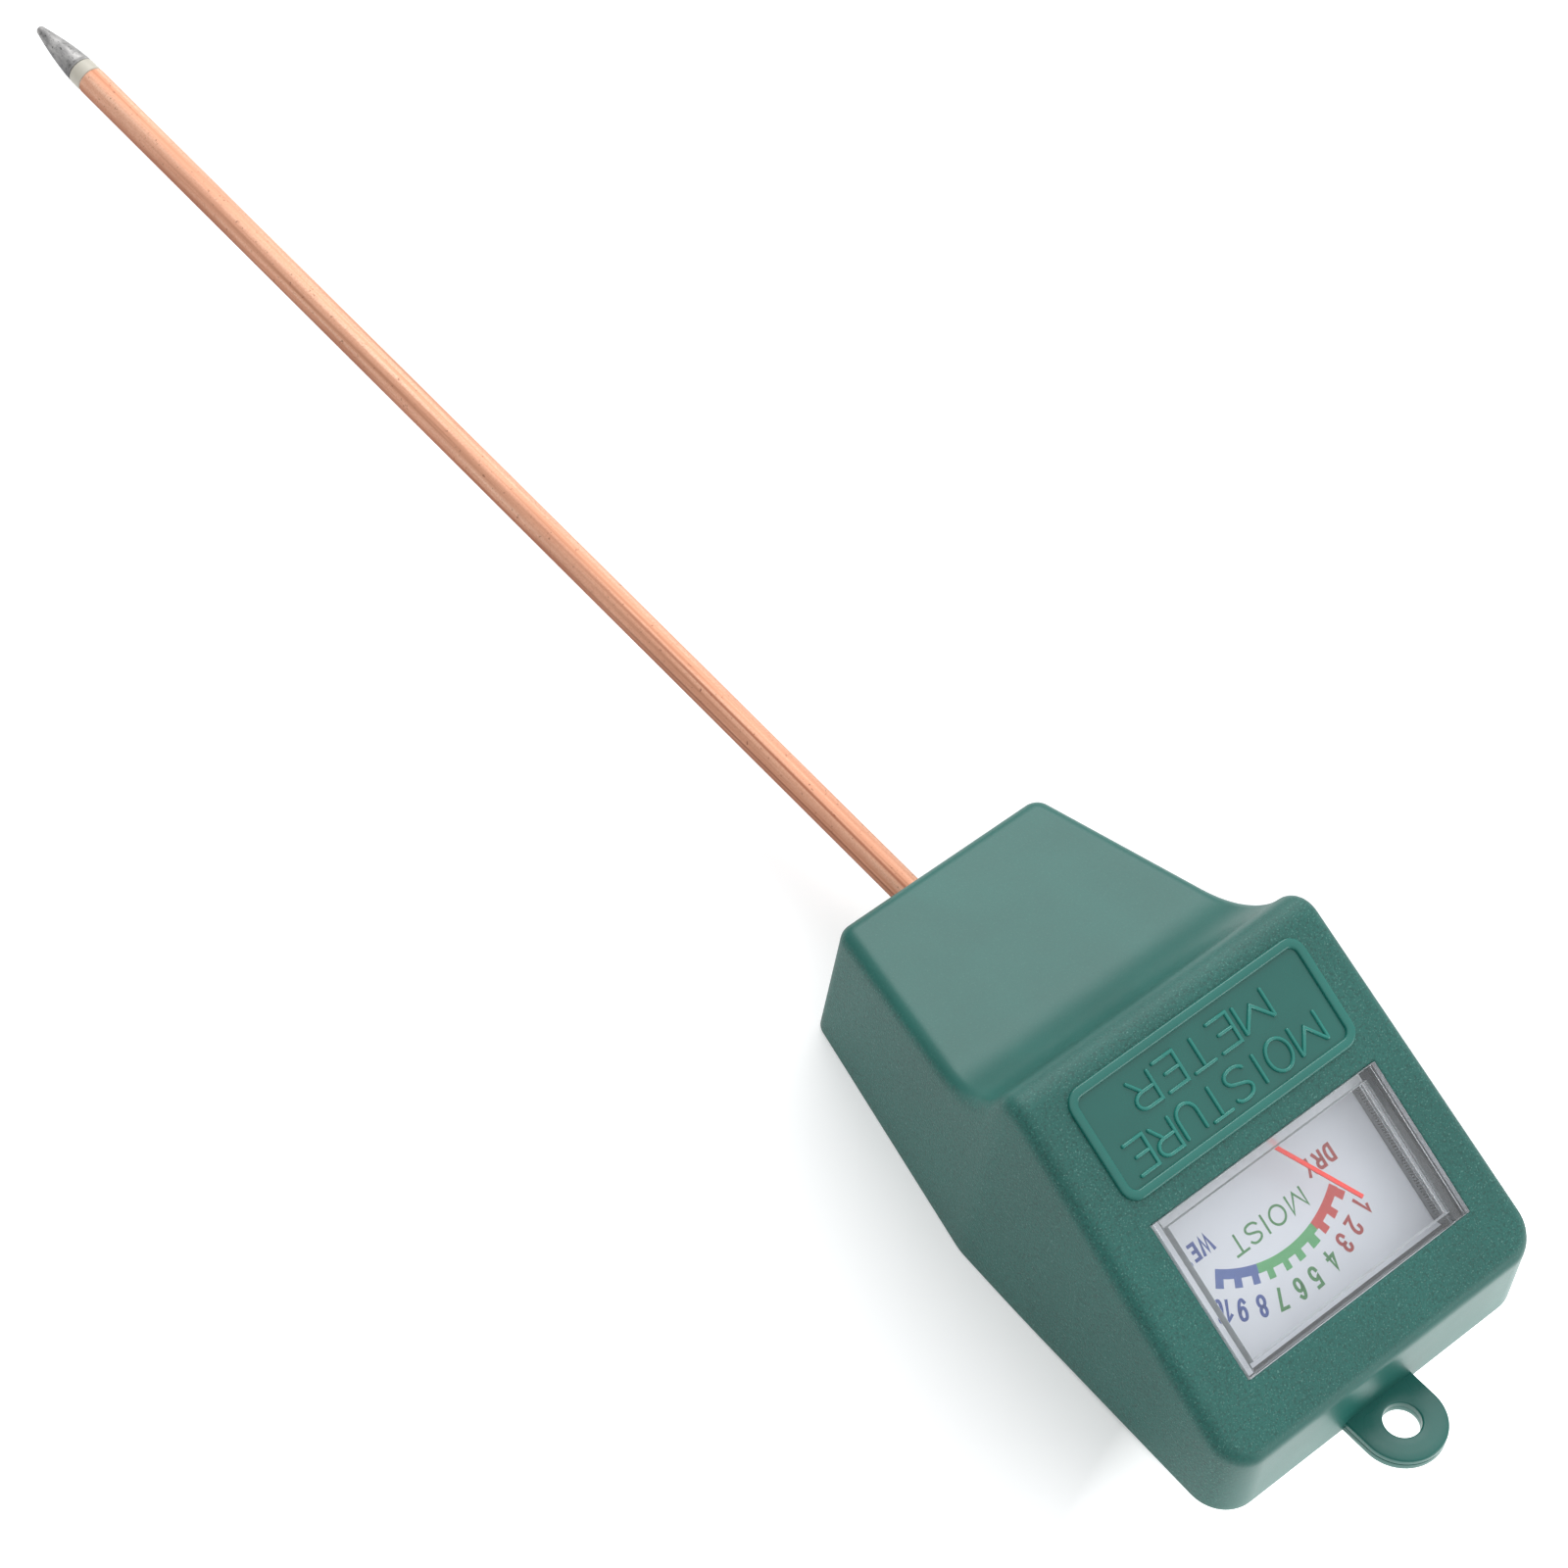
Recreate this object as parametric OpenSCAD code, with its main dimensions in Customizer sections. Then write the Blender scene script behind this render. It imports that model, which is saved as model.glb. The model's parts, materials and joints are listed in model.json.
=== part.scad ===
// Soil moisture meter: a sloping indicator housing on a copper probe, lying on its back.
// X runs to the reader's right, Y from the probe towards the hang tab, Z out of the dial side.
// Origin: middle of the flat lower part of the back, which the meter rests on. The modules are drawn
// from the middle of the neck end, and in_frame() moves each piece to that origin.

/* [Housing] */
// Width of the housing at the neck end
neck_w = 42; // [36:0.5:48]
// Width of the housing at the lip of the dial face
lip_w = 62; // [56:0.5:66]
// Width of the housing at the hang tab end
top_w = 66; // [62:0.5:72]
// Length of the housing along the probe axis
body_len = 102; // [98:0.5:108]
// Height of the neck at its end
neck_h = 26; // [24:0.5:30]
// Height of the neck at the foot of the step
shelf_h = 31; // [28:0.5:33]
// Distance from the neck end to the foot of the step
shelf_y = 38.5; // [34:0.5:42]
// Height of the lip of the dial face
lip_h = 44.5; // [42:0.5:48]
// Distance from the neck end to the lip of the dial face
lip_y = 44; // [42:0.5:48]
// Height of the dial face at the hang tab end
top_h = 16; // [15:0.5:20]
// Distance from the neck end to the bend in the back
bend_y = 57; // [50:1:64]
// Rise of the back from the bend to the hang tab end
back_rise = 2.25; // [2:0.25:5]
// Wall thickness of the housing
wall = 2.2; // [1.8:0.1:2.6]

/* [Window and name panel] */
// Width of the clear window
window_w = 46.5; // [40:0.5:48]
// Height of the clear window up the dial face
window_h = 26.5; // [22:0.5:28]
// Distance from the lip to the middle of the window
window_v = 41.1; // [39:0.1:43]
// Sideways place of the window's middle
window_u = -1; // [-2:0.25:2]
// Width of the raised frame round the name panel
panel_w = 48.4; // [40:0.1:52]
// Height of the raised frame round the name panel
panel_h = 19; // [14:0.5:20]

/* [Hang tab] */
// Radius of the round end of the hang tab
tab_r = 7.1; // [6:0.1:9]
// Distance from the neck end to the middle of the hang hole
tab_y = 107.5; // [107:0.5:110]
// Radius of the hang hole
hang_r = 3; // [2:0.25:3.5]

/* [Probe] */
// Outside diameter of the probe tube
probe_d = 5; // [4:0.25:6]
// Distance that the probe stands out of the neck, point included
probe_len = 226; // [180:1:260]
// Length of the metal point
point_len = 11.8; // [9:0.1:15]
// Length of the insulating ring that shows
ring_len = 2.7; // [2:0.1:4]
// Height of the probe axis above the resting plane
probe_z = 12.5; // [11:0.5:14]

/* [Movement] */
// Sideways place of the pointer's pivot
pivot_u = 0.6; // [-1:0.1:1]
// Distance from the lip to the pointer's pivot, down the dial face
pivot_v = 22; // [21.5:0.1:22.5]
// Angle of the pointer at rest, to the left of straight up
rest_angle = 30.5; // [30:0.5:34]
// Length of the pointer from its pivot
pointer_len = 25; // [23:0.5:26]

/* [Hidden] */

$fn = 64;
eps = 0.01;
gap = 0.15;           // gap between pieces that sit in each other
far = 60;             // more than any half size of the housing

// Housing rounding
step_r = 15;          // hollow curve at the foot of the step
lip_r = 4.5;          // rounding of the lip
brow_r = 1.5;         // rounding where the dial face meets the tab end
neck_corner_r = 3;    // corners of the plan at the neck end
top_corner_r = 6;     // corners of the plan at the tab end

// Raised frame round the name panel
bead_w = 1.6;
bead_h = 0.6;

// Rear cover
cover_t = 2;
cover_tab_t = 1;      // rear layer of the hang tab
tab_t = 2.2;          // both layers of the hang tab
pad_t = 4;            // thickness of the cover at a screw
back_angle = atan(back_rise / (body_len + 0.5 - bend_y));
screws_at = [[-13, 10], [13, 10], [-26, 96.7], [26, 96.7]];
boss_r = 2.4;

// Dial face frame: u to the right, v up the face from the lip, w out of the face
face_angle = atan((lip_h - top_h) / (body_len - lip_y));

// Indicator levels, all along w
lens_top = 0.3;
lens_t = 1.5;
lid_top = -wall - 0.1;
lid_t = 1;
lid_under = lid_top - lid_t;
side_foot = -3.9;
pointer_w = -3.9;
dial_w = -8.5;
dial_t = 0.5;
rim_top = -6.1;
tray_floor = -10.2;
box_wall = 1.2;
well_floor = -25.2;
bridge_w = -5.2;
yoke_top = -9.6;
yoke_h = 9;
coil_top = -7.9;
coil_bottom = -19.9;
frame_top = -21.9;
frame_t = 1.5;

// Indicator box in plan
lid_w = 50;
lid_v0 = 8;
lid_v1 = 57;
side_wall = 2.5;       // walls of the raised window, at its sides
end_wall = 1.7;        // and at its other two edges
ears_at = [[-16, 5.2], [14, 5.2], [-16, 59.6], [14, 59.6]];
ear_r = 2.2;

// Movement
core_r = 4.5;
yoke_r = 10.4;
yoke_bore_r = 7.6;
post_u = 12.2;
seat_u = 10.9;         // screws that hold the frame to the tray
post_r = 1.4;
coil_reach = 6.6;     // outer half width of the coil
pivot_r = 0.3;
jewel_r = 1.2;

// Probe
tube_bore_r = probe_d / 2 - 0.5;
sleeve_r = tube_bore_r - 0.05;
rod_r = 1;
tube_in = 22;         // how far the tube reaches into the neck
rod_in = 27;

// Corner b moved inwards by d, for an outline that runs anticlockwise
function unit(v) = v / norm(v);
function left_of(v) = [-v[1], v[0]];
function inset(a, b, c, d) =
    let (p = unit(b - a), q = unit(c - b), n = left_of(p), m = left_of(q))
    b + d * (n + m) / (1 + n * m);

// Points of an arc of radius r that blends the corner b
function fillet(a, b, c, r, steps = 8) =
    let (p = unit(a - b), q = unit(c - b), half = acos(p * q) / 2,
         mid = b + unit(p + q) * r / sin(half),
         s = b + p * r / tan(half) - mid, e = b + q * r / tan(half) - mid,
         turn = sign(s[0] * e[1] - s[1] * e[0]) * acos(s * e / (r * r)))
    [for (i = [0:steps]) let (t = turn * i / steps)
        mid + [s[0] * cos(t) - s[1] * sin(t), s[0] * sin(t) + s[1] * cos(t)]];

// Half width of the housing at a distance y from the neck end
function half_w(y) = lookup(y, [[0, neck_w / 2], [lip_y, lip_w / 2], [body_len, top_w / 2]]);

// Outline of a rectangle with round corners about the origin
function round_rect(w, h, r) = let (x = w / 2, y = h / 2, k = [[x, -y], [x, y], [-x, y], [-x, -y]])
    [for (i = [0:3]) each fillet(k[(i + 3) % 4], k[i], k[(i + 1) % 4], r, 6)];

// Side profile of the housing in Y and Z, moved inwards by d: the dial side, then the whole outline
tab_end = [body_len + 0.5, back_rise];
function dial_side(d) = let (
        front = [0, neck_h], shelf = [shelf_y, shelf_h], lip = [lip_y, lip_h], brow = [body_len, top_h],
        p = [inset([0, 0], front, shelf, -d), inset(front, shelf, lip, -d), inset(shelf, lip, brow, -d),
             inset(lip, brow, tab_end, -d), tab_end + [-d, d]])
    [p[0], each fillet(p[0], p[1], p[2], step_r + d), each fillet(p[1], p[2], p[3], lip_r - d / 2),
     each fillet(p[2], p[3], p[4], max(brow_r - d, 0.4))];
function side_points(d) = concat([[d, d]], dial_side(d), [tab_end + [-d, d], [bend_y, d]]);

// Plan of the housing in X and Y, moved inwards by d
function plan_points(d) = let (
        k = [[half_w(0), 0], [half_w(lip_y), lip_y], [half_w(body_len), body_len + 0.5]],
        a = inset([-k[0][0], 0], k[0], k[1], d), b = inset(k[0], k[1], k[2], d),
        c = inset(k[1], k[2], [-k[2][0], k[2][1]], d), half = [
            each fillet([-a[0], a[1]], a, b, max(neck_corner_r - d, 0.8)), b,
            each fillet(b, c, [-c[0], c[1]], top_corner_r - d)])
    concat(half, [for (i = [len(half) - 1:-1:0]) [-half[i][0], half[i][1]]]);

module plan_prism(d, z0, z1) translate([0, 0, z0]) linear_extrude(z1 - z0) polygon(plan_points(d));
module side_prism(points) rotate([90, 0, 90]) translate([0, 0, -far]) linear_extrude(2 * far)
    polygon(points);

module in_frame() translate([0, -bend_y / 2, 0]) children();
// Places its children in the dial face frame, or in the frame of the pivot
module on_face() translate([0, lip_y, lip_h]) rotate([-face_angle, 0, 0]) children();
module at_pivot(turn = 0) on_face() translate([pivot_u, pivot_v, 0]) rotate([0, 0, turn]) children();
// Places its children on the upper part of the back: y up the back, z out towards the dial
module on_back() translate([0, bend_y, 0]) rotate([back_angle, 0, 0]) children();
module along_probe(y) translate([0, y, probe_z]) rotate([-90, 0, 0]) children();

module box(x0, x1, y0, y1, z0, z1) translate([x0, y0, z0]) cube([x1 - x0, y1 - y0, z1 - z0]);
module tube(r_out, r_in, h) difference() {
    cylinder(r = r_out, h = h);
    translate([0, 0, -1]) cylinder(r = r_in, h = h + 2);
}

// Pan-head screw: shank down from z = 0, head above, with a cross recess
module screw(shank_r, shank_h, head_r, head_h) difference() {
    union() {
        translate([0, 0, -shank_h]) cylinder(r = shank_r, h = shank_h + eps);
        cylinder(r = head_r, h = head_h);
    }
    for (t = [0, 90]) rotate([0, 0, t])
        box(-head_r * 0.6, head_r * 0.6, -head_r * 0.13, head_r * 0.13, head_h * 0.45, head_h + 1);
}

// One layer of the hang tab, between two levels above the back
module tab_layer(y0, z0, z1) let (mid = (tab_y - bend_y) / cos(back_angle)) difference() {
    union() {
        translate([0, mid, z0]) cylinder(r = tab_r, h = z1 - z0);
        box(-tab_r, tab_r, y0 - bend_y, mid, z0, z1);
    }
    translate([0, mid, z0 - 1]) cylinder(r = hang_r, h = z1 - z0 + 2);
}

// Hollow of the housing, open at the back
module cavity() intersection() {
    side_prism(concat([[wall, -5]], dial_side(wall), [tab_end + [-wall, wall], [tab_end[0] - wall, -5]]));
    plan_prism(wall, -6, far);
}

module cover_bosses() for (p = screws_at) translate([p[0], p[1], pad_t + gap + back_height(p[1])])
    cylinder(r = boss_r, h = far);
function back_height(y) = y < bend_y ? 0 : (y - bend_y) * tan(back_angle);

module ear_bosses() on_face() for (p = ears_at) translate([p[0], p[1], tray_floor + box_wall])
    cylinder(r = ear_r, h = -tray_floor - box_wall - wall / 2);

// Two ribs that hold the flange of the probe bush
rib_y = [6, 10.6];
rib_t = 1.8;
module bush_ribs() for (y = rib_y) difference() {
    box(-11, 11, y, y + rib_t, probe_z - 2, far);
    translate([0, y - 1, probe_z]) rotate([-90, 0, 0]) cylinder(r = 5.6, h = rib_t + 2);
    box(-5.6, 5.6, y - 1, y + rib_t + 1, 0, probe_z);
}

module front_housing() color("#3f7468") difference() {
    union() {
        difference() {
            intersection() {
                side_prism(side_points(0));
                plan_prism(0, -1, far);
            }
            cavity();
        }
        intersection() {
            union() {
                cover_bosses();
                ear_bosses();
                bush_ribs();
            }
            side_prism(side_points(wall / 2));
            plan_prism(wall / 2, -1, far);
        }
        on_face() translate([-0.5, 14.5, -0.5]) linear_extrude(0.5 + bead_h) difference() {
            polygon(round_rect(panel_w, panel_h, 3));
            polygon(round_rect(panel_w - 2 * bead_w, panel_h - 2 * bead_w, 1.4));
        }
        on_back() tab_layer(body_len - 1, cover_tab_t + 0.05, tab_t);
    }
    on_face() translate([window_u, window_v, -5])
        box(-window_w / 2 - gap, window_w / 2 + gap, -window_h / 2 - gap, window_h / 2 + gap, 0, 10);
    along_probe(-1) cylinder(r = probe_d / 2 + 0.05, h = wall + 2);
    for (p = screws_at) translate([p[0], p[1], 0]) cylinder(r = 1, h = 15);
    on_face() for (p = ears_at) translate([p[0], p[1], tray_floor]) cylinder(r = 0.8, h = 7);
    on_back()
        box(-tab_r - gap, tab_r + gap, body_len - bend_y - 4, body_len - bend_y + 12, -2, cover_tab_t);
}

// Screw pads of the cover and a saddle that bears on the flange of the bush
module cover_inside() {
    for (p = screws_at) translate([p[0], p[1], back_height(p[1])]) cylinder(r = boss_r + 1.1, h = pad_t);
    difference() {
        box(-8, 8, 8.2, 10.2, 1, probe_z - 4);
        translate([0, 8, probe_z]) rotate([-90, 0, 0]) cylinder(r = 7.1, h = 3);
    }
}

module rear_cover() color("#3f7468") difference() {
    union() {
        intersection() {
            union() {
                side_prism([[0, 0], [bend_y, 0], tab_end, tab_end + [0, cover_t], [bend_y, cover_t],
                    [0, cover_t]]);
                difference() {
                    cover_inside();
                    side_prism([[0, 0], [0, -9], [far * 2, -9], tab_end, [bend_y, 0]]);
                }
            }
            plan_prism(wall + gap, -1, far);
        }
        on_back() tab_layer(body_len - 4, 0, cover_tab_t);
    }
    for (p = screws_at) translate([p[0], p[1], -2]) {
        cylinder(r = 1.35, h = 12);
        cylinder(r = 2.6, h = 4 + back_height(p[1]));
    }
}

module cover_screws() color("#b9bcc0") for (p = screws_at)
    translate([p[0], p[1], 2 + back_height(p[1])]) mirror([0, 0, 1]) screw(1, 9, 2.4, 1.5);

module probe_tube() color("#d99a70") along_probe(ring_len + point_len - probe_len)
    tube(probe_d / 2, tube_bore_r, probe_len - ring_len - point_len + tube_in);

// Ring that shows, with a spigot inside the tube
module tip_insulator() color("#ddd8cb") along_probe(point_len - probe_len) difference() {
    union() {
        cylinder(r = probe_d / 2, h = ring_len);
        cylinder(r = sleeve_r, h = ring_len + 5);
    }
    translate([0, 0, -1]) cylinder(r = rod_r + 0.05, h = ring_len + 8);
}

// Bullet-shaped point: halfway between a cone and a circular arc, with a small round nose
nose_r = 0.8;
module probe_tip() color("#a9abad") along_probe(-probe_len) difference() {
    let (run = point_len - nose_r, rise = probe_d / 2 - nose_r,
         arc_r = (run * run + rise * rise) / (2 * rise), last = asin(run / arc_r))
    rotate_extrude() polygon(concat(
        [[0, point_len], [probe_d / 2, point_len]],
        [for (i = [1:12]) let (t = last * i / 12)
            [probe_d / 2 - (arc_r * (1 - cos(t)) + rise * arc_r * sin(t) / run) / 2,
                point_len - arc_r * sin(t)]],
        [for (i = [1:4]) let (t = i * 22.5) [nose_r * cos(t), nose_r * (1 - sin(t))]]));
    translate([0, 0, point_len - 5]) cylinder(r = rod_r, h = 6);
}

module probe_sleeve() color("#e8e4d6") along_probe(point_len + ring_len + 5.2 - probe_len)
    tube(sleeve_r, rod_r + 0.05, probe_len - point_len - ring_len - 5.2 + tube_in);

module core_rod() color("#9a9c9f") along_probe(point_len - 5 - probe_len)
    cylinder(r = rod_r, h = probe_len - point_len + 5 + rod_in);

module probe_bush() color("#e9e7df") along_probe(0) difference() {
    union() {
        translate([0, 0, wall + 0.1]) cylinder(r = 5.4, h = 14);
        translate([0, 0, rib_y[0] + rib_t + 0.1]) cylinder(r = 7, h = rib_y[1] - rib_y[0] - rib_t - 0.2);
    }
    cylinder(r = probe_d / 2 + 0.02, h = 20);
}

module insulating_washer() color("#7c3b2a") along_probe(tube_in + 0.05) tube(3.4, rod_r + 0.05, 1);

// Brass band round the tube, with a solder tag
module tube_terminal() color("#c9a24a") {
    along_probe(18) tube(probe_d / 2 + 0.6, probe_d / 2 + 0.02, 2.6);
    box(-8.6, -probe_d / 2 - 0.3, 18.4, 20.2, probe_z - 0.3, probe_z + 0.3);
}

module rod_terminal() color("#c9a24a") {
    along_probe(tube_in + 1.1) tube(2.6, rod_r + 0.05, 0.5);
    box(2.2, 8.6, tube_in + 1.1, tube_in + 1.6, probe_z - 0.9, probe_z + 0.9);
}

module rod_nut() color("#b9bcc0") along_probe(tube_in + 1.7) difference() {
    cylinder(r = 2.3, h = 1.6, $fn = 6);
    translate([0, 0, -1]) cylinder(r = rod_r, h = 4);
}

// A lead as straight runs with slightly larger balls at the bends
module lead(points, r = 0.6) {
    for (i = [0:len(points) - 2]) let (a = points[i], d = points[i + 1] - a, reach = norm([d[0], d[1]]))
        translate(a) rotate([0, atan2(reach, d[2]), atan2(d[1], d[0])]) cylinder(r = r, h = norm(d));
    for (p = points) translate(p) sphere(r = r * 1.08);
}

pin_u = 6;
pin_v = 15;
function face_to_body(u, v, w) = [u, lip_y + v * cos(face_angle) + w * sin(face_angle),
    lip_h - v * sin(face_angle) + w * cos(face_angle)];
function lead_end(side) = face_to_body(pivot_u + side * pin_u, pin_v, well_floor - 2.6);
// Way of a lead on the right-hand side, from its tag to its pin
function lead_way(start, pin) = [start, [9.5, start[1] + 3.2, probe_z + 2.7], [10, 34, probe_z + 3],
    [8.5, 39.5, probe_z + 1.5], pin + [0.2, -1.15, 0.4]];
module red_lead() color("#b3261e") lead(lead_way([8, tube_in + 2.3, probe_z + 0.6], lead_end(1)));
module black_lead() color("#1c1c1e") mirror([1, 0, 0])
    lead(lead_way([8, 20.9, probe_z + 0.6], [-lead_end(-1)[0], lead_end(-1)[1], lead_end(-1)[2]]));

module lid_box(inset_by, w0, w1) box(window_u - lid_w / 2 + inset_by, window_u + lid_w / 2 - inset_by,
    lid_v0 + inset_by, lid_v1 - inset_by, w0, w1);
module window_box(inset_by, w0, w1) translate([window_u, window_v, 0])
    box(-window_w / 2 + inset_by, window_w / 2 - inset_by, -window_h / 2 + inset_by,
        window_h / 2 - inset_by, w0, w1);

// Clear box: a lid with a raised window that fills the opening in the housing
module meter_lens() color([0.85, 0.9, 0.93, 0.35]) on_face() difference() {
    union() {
        lid_box(0, tray_floor + box_wall + 0.05, lid_top);
        window_box(0, lid_under, lens_top);
    }
    difference() {
        lid_box(box_wall, tray_floor, lid_under);
        window_box(0, side_foot, lid_under + eps);
    }
    translate([window_u, window_v, 0]) {
        box(side_wall - window_w / 2, window_w / 2 - side_wall, end_wall - window_h / 2,
            window_h / 2 - end_wall, lid_under - 1, lens_top - lens_t);
        box(side_wall - window_w / 2, window_w / 2 - side_wall, -far / 2, far / 2,
            side_foot - 1, lid_under);
    }
}

// Tray: a shallow part under the dial and a deep well for the movement
well = [pivot_u - 16.4, pivot_u + 16.4, lid_v0 + box_wall + 0.2, 35.8];
module well_box(inset_by, w0, w1) box(well[0] + inset_by, well[1] - inset_by, well[2] + inset_by,
    well[3] - inset_by, w0, w1);
rim_gap = box_wall + 0.2;
tooth_pitch = 0.5;
module meter_base() color("#6e7276") on_face() {
    difference() {
        union() {
            lid_box(rim_gap, tray_floor, rim_top);
            well_box(0, well_floor, tray_floor + eps);
            for (p = ears_at) {
                translate([p[0], p[1], tray_floor]) cylinder(r = ear_r, h = box_wall - 0.05);
                box(p[0] - ear_r, p[0] + ear_r, min(p[1], 30), max(p[1], 30), tray_floor,
                    tray_floor + box_wall - 0.05);
            }
        }
        lid_box(rim_gap + box_wall, tray_floor + box_wall, far);
        well_box(box_wall, well_floor + box_wall, far);
        for (p = ears_at) translate([p[0], p[1], tray_floor - 1]) cylinder(r = 1.1, h = 4);
        for (s = [-1, 1])
            translate([pivot_u + s * pin_u, pin_v, well_floor - 1]) cylinder(r = 0.6, h = 4);
        for (s = [-1, 1])
            translate([pivot_u + s * seat_u, pivot_v, well_floor - 1]) cylinder(r = 1, h = 4);
    }
    for (s = [-1, 1]) translate([pivot_u + s * seat_u, pivot_v, well_floor + box_wall - eps])
        tube(1.9, 1, frame_top - frame_t - well_floor - box_wall + eps);
    let (from = window_u - lid_w / 2 + rim_gap + box_wall) {
        box(from - eps, from + 0.35, lid_v0 + 5, lid_v1 - 3, dial_w + 0.05, dial_w + 1.2);
        for (v = [lid_v0 + 5:tooth_pitch:lid_v1 - 3.5])
            box(from - eps, from + 0.35, v, v + tooth_pitch / 2, dial_w + 1.1, dial_w + 2.3);
    }
}

module meter_screws() color("#b9bcc0") on_face() for (p = ears_at)
    translate([p[0], p[1], tray_floor]) mirror([0, 0, 1]) screw(0.8, 7, 1.9, 1.2);

module terminal_pins() color("#c9a24a") on_face() for (s = [-1, 1])
    translate([pivot_u + s * pin_u, pin_v, well_floor - 3]) {
        cylinder(r = 0.6, h = 5.4);
        translate([0, 0, 4.2]) cylinder(r = 1.2, h = 0.6);
    }

module dial_plate() color("#eceef0") on_face() difference() {
    lid_box(rim_gap + box_wall + 0.3, dial_w - dial_t, dial_w);
    box(pivot_u - 14.6, pivot_u + 14.6, 0, 29.6, -far, far);
}

module movement_frame() color("#8d9094") at_pivot() difference() {
    union() {
        box(-14.4, 14.4, -3.4, 3.4, frame_top - frame_t, frame_top);
        for (s = [-1, 1])
            translate([s * post_u, 0, frame_top - eps]) cylinder(r = post_r, h = bridge_w - frame_top);
        for (s = [-1, 1])
            box(s * 11 - 2.2, s * 11 + 2.2, -2.6, 2.6, frame_top - eps, yoke_top - yoke_h);
        box(-0.4, 0.4, -3.9, -3.3, frame_top - frame_t, coil_bottom - 0.6);
    }
    translate([0, 0, -far]) cylinder(r = jewel_r, h = far + frame_top + 1);
    for (s = [-1, 1]) translate([s * seat_u, 0, frame_top - frame_t - 1]) cylinder(r = 0.8, h = 4);
    for (s = [-1, 1]) translate([s * post_u, 0, bridge_w - 4]) cylinder(r = 0.5, h = 5);
}

module movement_screws() color("#b9bcc0") at_pivot() for (s = [-1, 1])
    translate([s * seat_u, 0, well_floor]) mirror([0, 0, 1]) screw(0.8, 3.8, 1.7, 1);

module yoke_ring() color("#55585c") at_pivot() difference() {
    translate([0, 0, yoke_top - yoke_h]) tube(yoke_r, yoke_bore_r, yoke_h);
    translate([-far, 0, yoke_top - yoke_h / 2]) rotate([0, 90, 0]) cylinder(r = 1, h = 2 * far);
}

module core_magnet() color("#3b3d40") at_pivot() difference() {
    translate([0, 0, yoke_top - yoke_h]) cylinder(r = core_r, h = yoke_h);
    translate([-far, 0, yoke_top - yoke_h / 2]) rotate([0, 90, 0]) cylinder(r = 1, h = 2 * far);
}

module core_pin() color("#c9a24a") at_pivot() translate([-yoke_r + 0.3, 0, yoke_top - yoke_h / 2])
    rotate([0, 90, 0]) cylinder(r = 1, h = 2 * (yoke_r - 0.3));

module top_bridge() color("#c9a24a") at_pivot() difference() {
    box(-13.8, 13.8, -2.2, 2.2, bridge_w, bridge_w + 0.8);
    translate([0, 0, bridge_w - 1]) cylinder(r = jewel_r, h = 4);
    for (s = [-1, 1]) translate([s * post_u, 0, bridge_w - 1]) cylinder(r = 0.6, h = 4);
}

module bridge_screws() color("#b9bcc0") at_pivot() for (s = [-1, 1])
    translate([s * post_u, 0, bridge_w + 0.8]) screw(0.5, 3, 1.1, 0.6);

// Jewel screw with a blind cup for the pivot; the cup opens towards +z
module jewel(h) difference() {
    cylinder(r = jewel_r, h = h);
    translate([0, 0, h - 0.8]) cylinder(r = pivot_r + 0.05, h = 1);
}
top_cup = bridge_w - 0.9;
bottom_cup = frame_top + 0.5;
module top_jewel() color("#b54a5e") at_pivot() translate([0, 0, top_cup]) mirror([0, 0, 1])
    translate([0, 0, -2]) jewel(2);
module bottom_jewel() color("#b54a5e") at_pivot() translate([0, 0, bottom_cup - 2.6]) jewel(2.6);

// Regulator arm that carries the outer end of the upper hairspring
module zero_arm() color("#d8dadc") at_pivot() {
    translate([0, 0, bridge_w - 0.45]) difference() {
        union() {
            cylinder(r = 2.1, h = 0.4);
            box(-0.6, 0.6, -8.5, -1, 0, 0.4);
            box(-1.5, 1.5, -8.5, -7.3, 0, 0.4);
        }
        translate([0, 0, -1]) cylinder(r = jewel_r + 0.05, h = 3);
        box(-0.5, 0.5, -9, -7.9, -1, 1);
    }
    box(-0.4, 0.4, -3.9, -3.3, top_cup - 1.1, bridge_w - 0.4);
}

// Flat spiral from the hub out to an end post
module hairspring(z, r0, r1, turns) let (n = turns * 20, t = 0.12) translate([0, 0, z])
    linear_extrude(0.35) polygon(concat(
        [for (i = [0:n]) let (a = -90 - 360 * turns * (1 - i / n), r = r0 + (r1 - r0) * i / n)
            r * [cos(a), sin(a)]],
        [for (i = [n:-1:0]) let (a = -90 - 360 * turns * (1 - i / n), r = r0 + (r1 - r0) * i / n - t)
            r * [cos(a), sin(a)]]));
module upper_hairspring() color("#caa75a") at_pivot() hairspring(top_cup - 0.95, 1.15, 3.3, 3);
module lower_hairspring() color("#caa75a") at_pivot() hairspring(coil_bottom - 1.05, 1.15, 3.3, 3);

// The moving coil is drawn at rest, turned to the pointer's side
module on_coil() at_pivot(rest_angle) children();
module coil_ring(half_v, half_u, w0, w1, t, bar) difference() {
    box(-half_u, half_u, -half_v, half_v, w0, w1);
    box(-half_u - 1, half_u + 1, -half_v + t, half_v - t, w0 + bar, w1 - bar);
}
module coil_frame() color("#c4c7ca") on_coil()
    coil_ring(coil_reach - 0.6, 1.3, coil_bottom + 0.6, coil_top - 0.6, 0.4, 0.4);
module coil_winding() color("#b5622c") on_coil()
    coil_ring(coil_reach, 0.9, coil_bottom, coil_top, 0.6, 0.6);
module coil_pivots() color("#9a9c9f") on_coil() {
    translate([0, 0, coil_top]) cylinder(r = pivot_r, h = top_cup + 0.6 - coil_top);
    translate([0, 0, bottom_cup - 0.6]) cylinder(r = pivot_r, h = coil_bottom - bottom_cup + 0.6);
}

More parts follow.
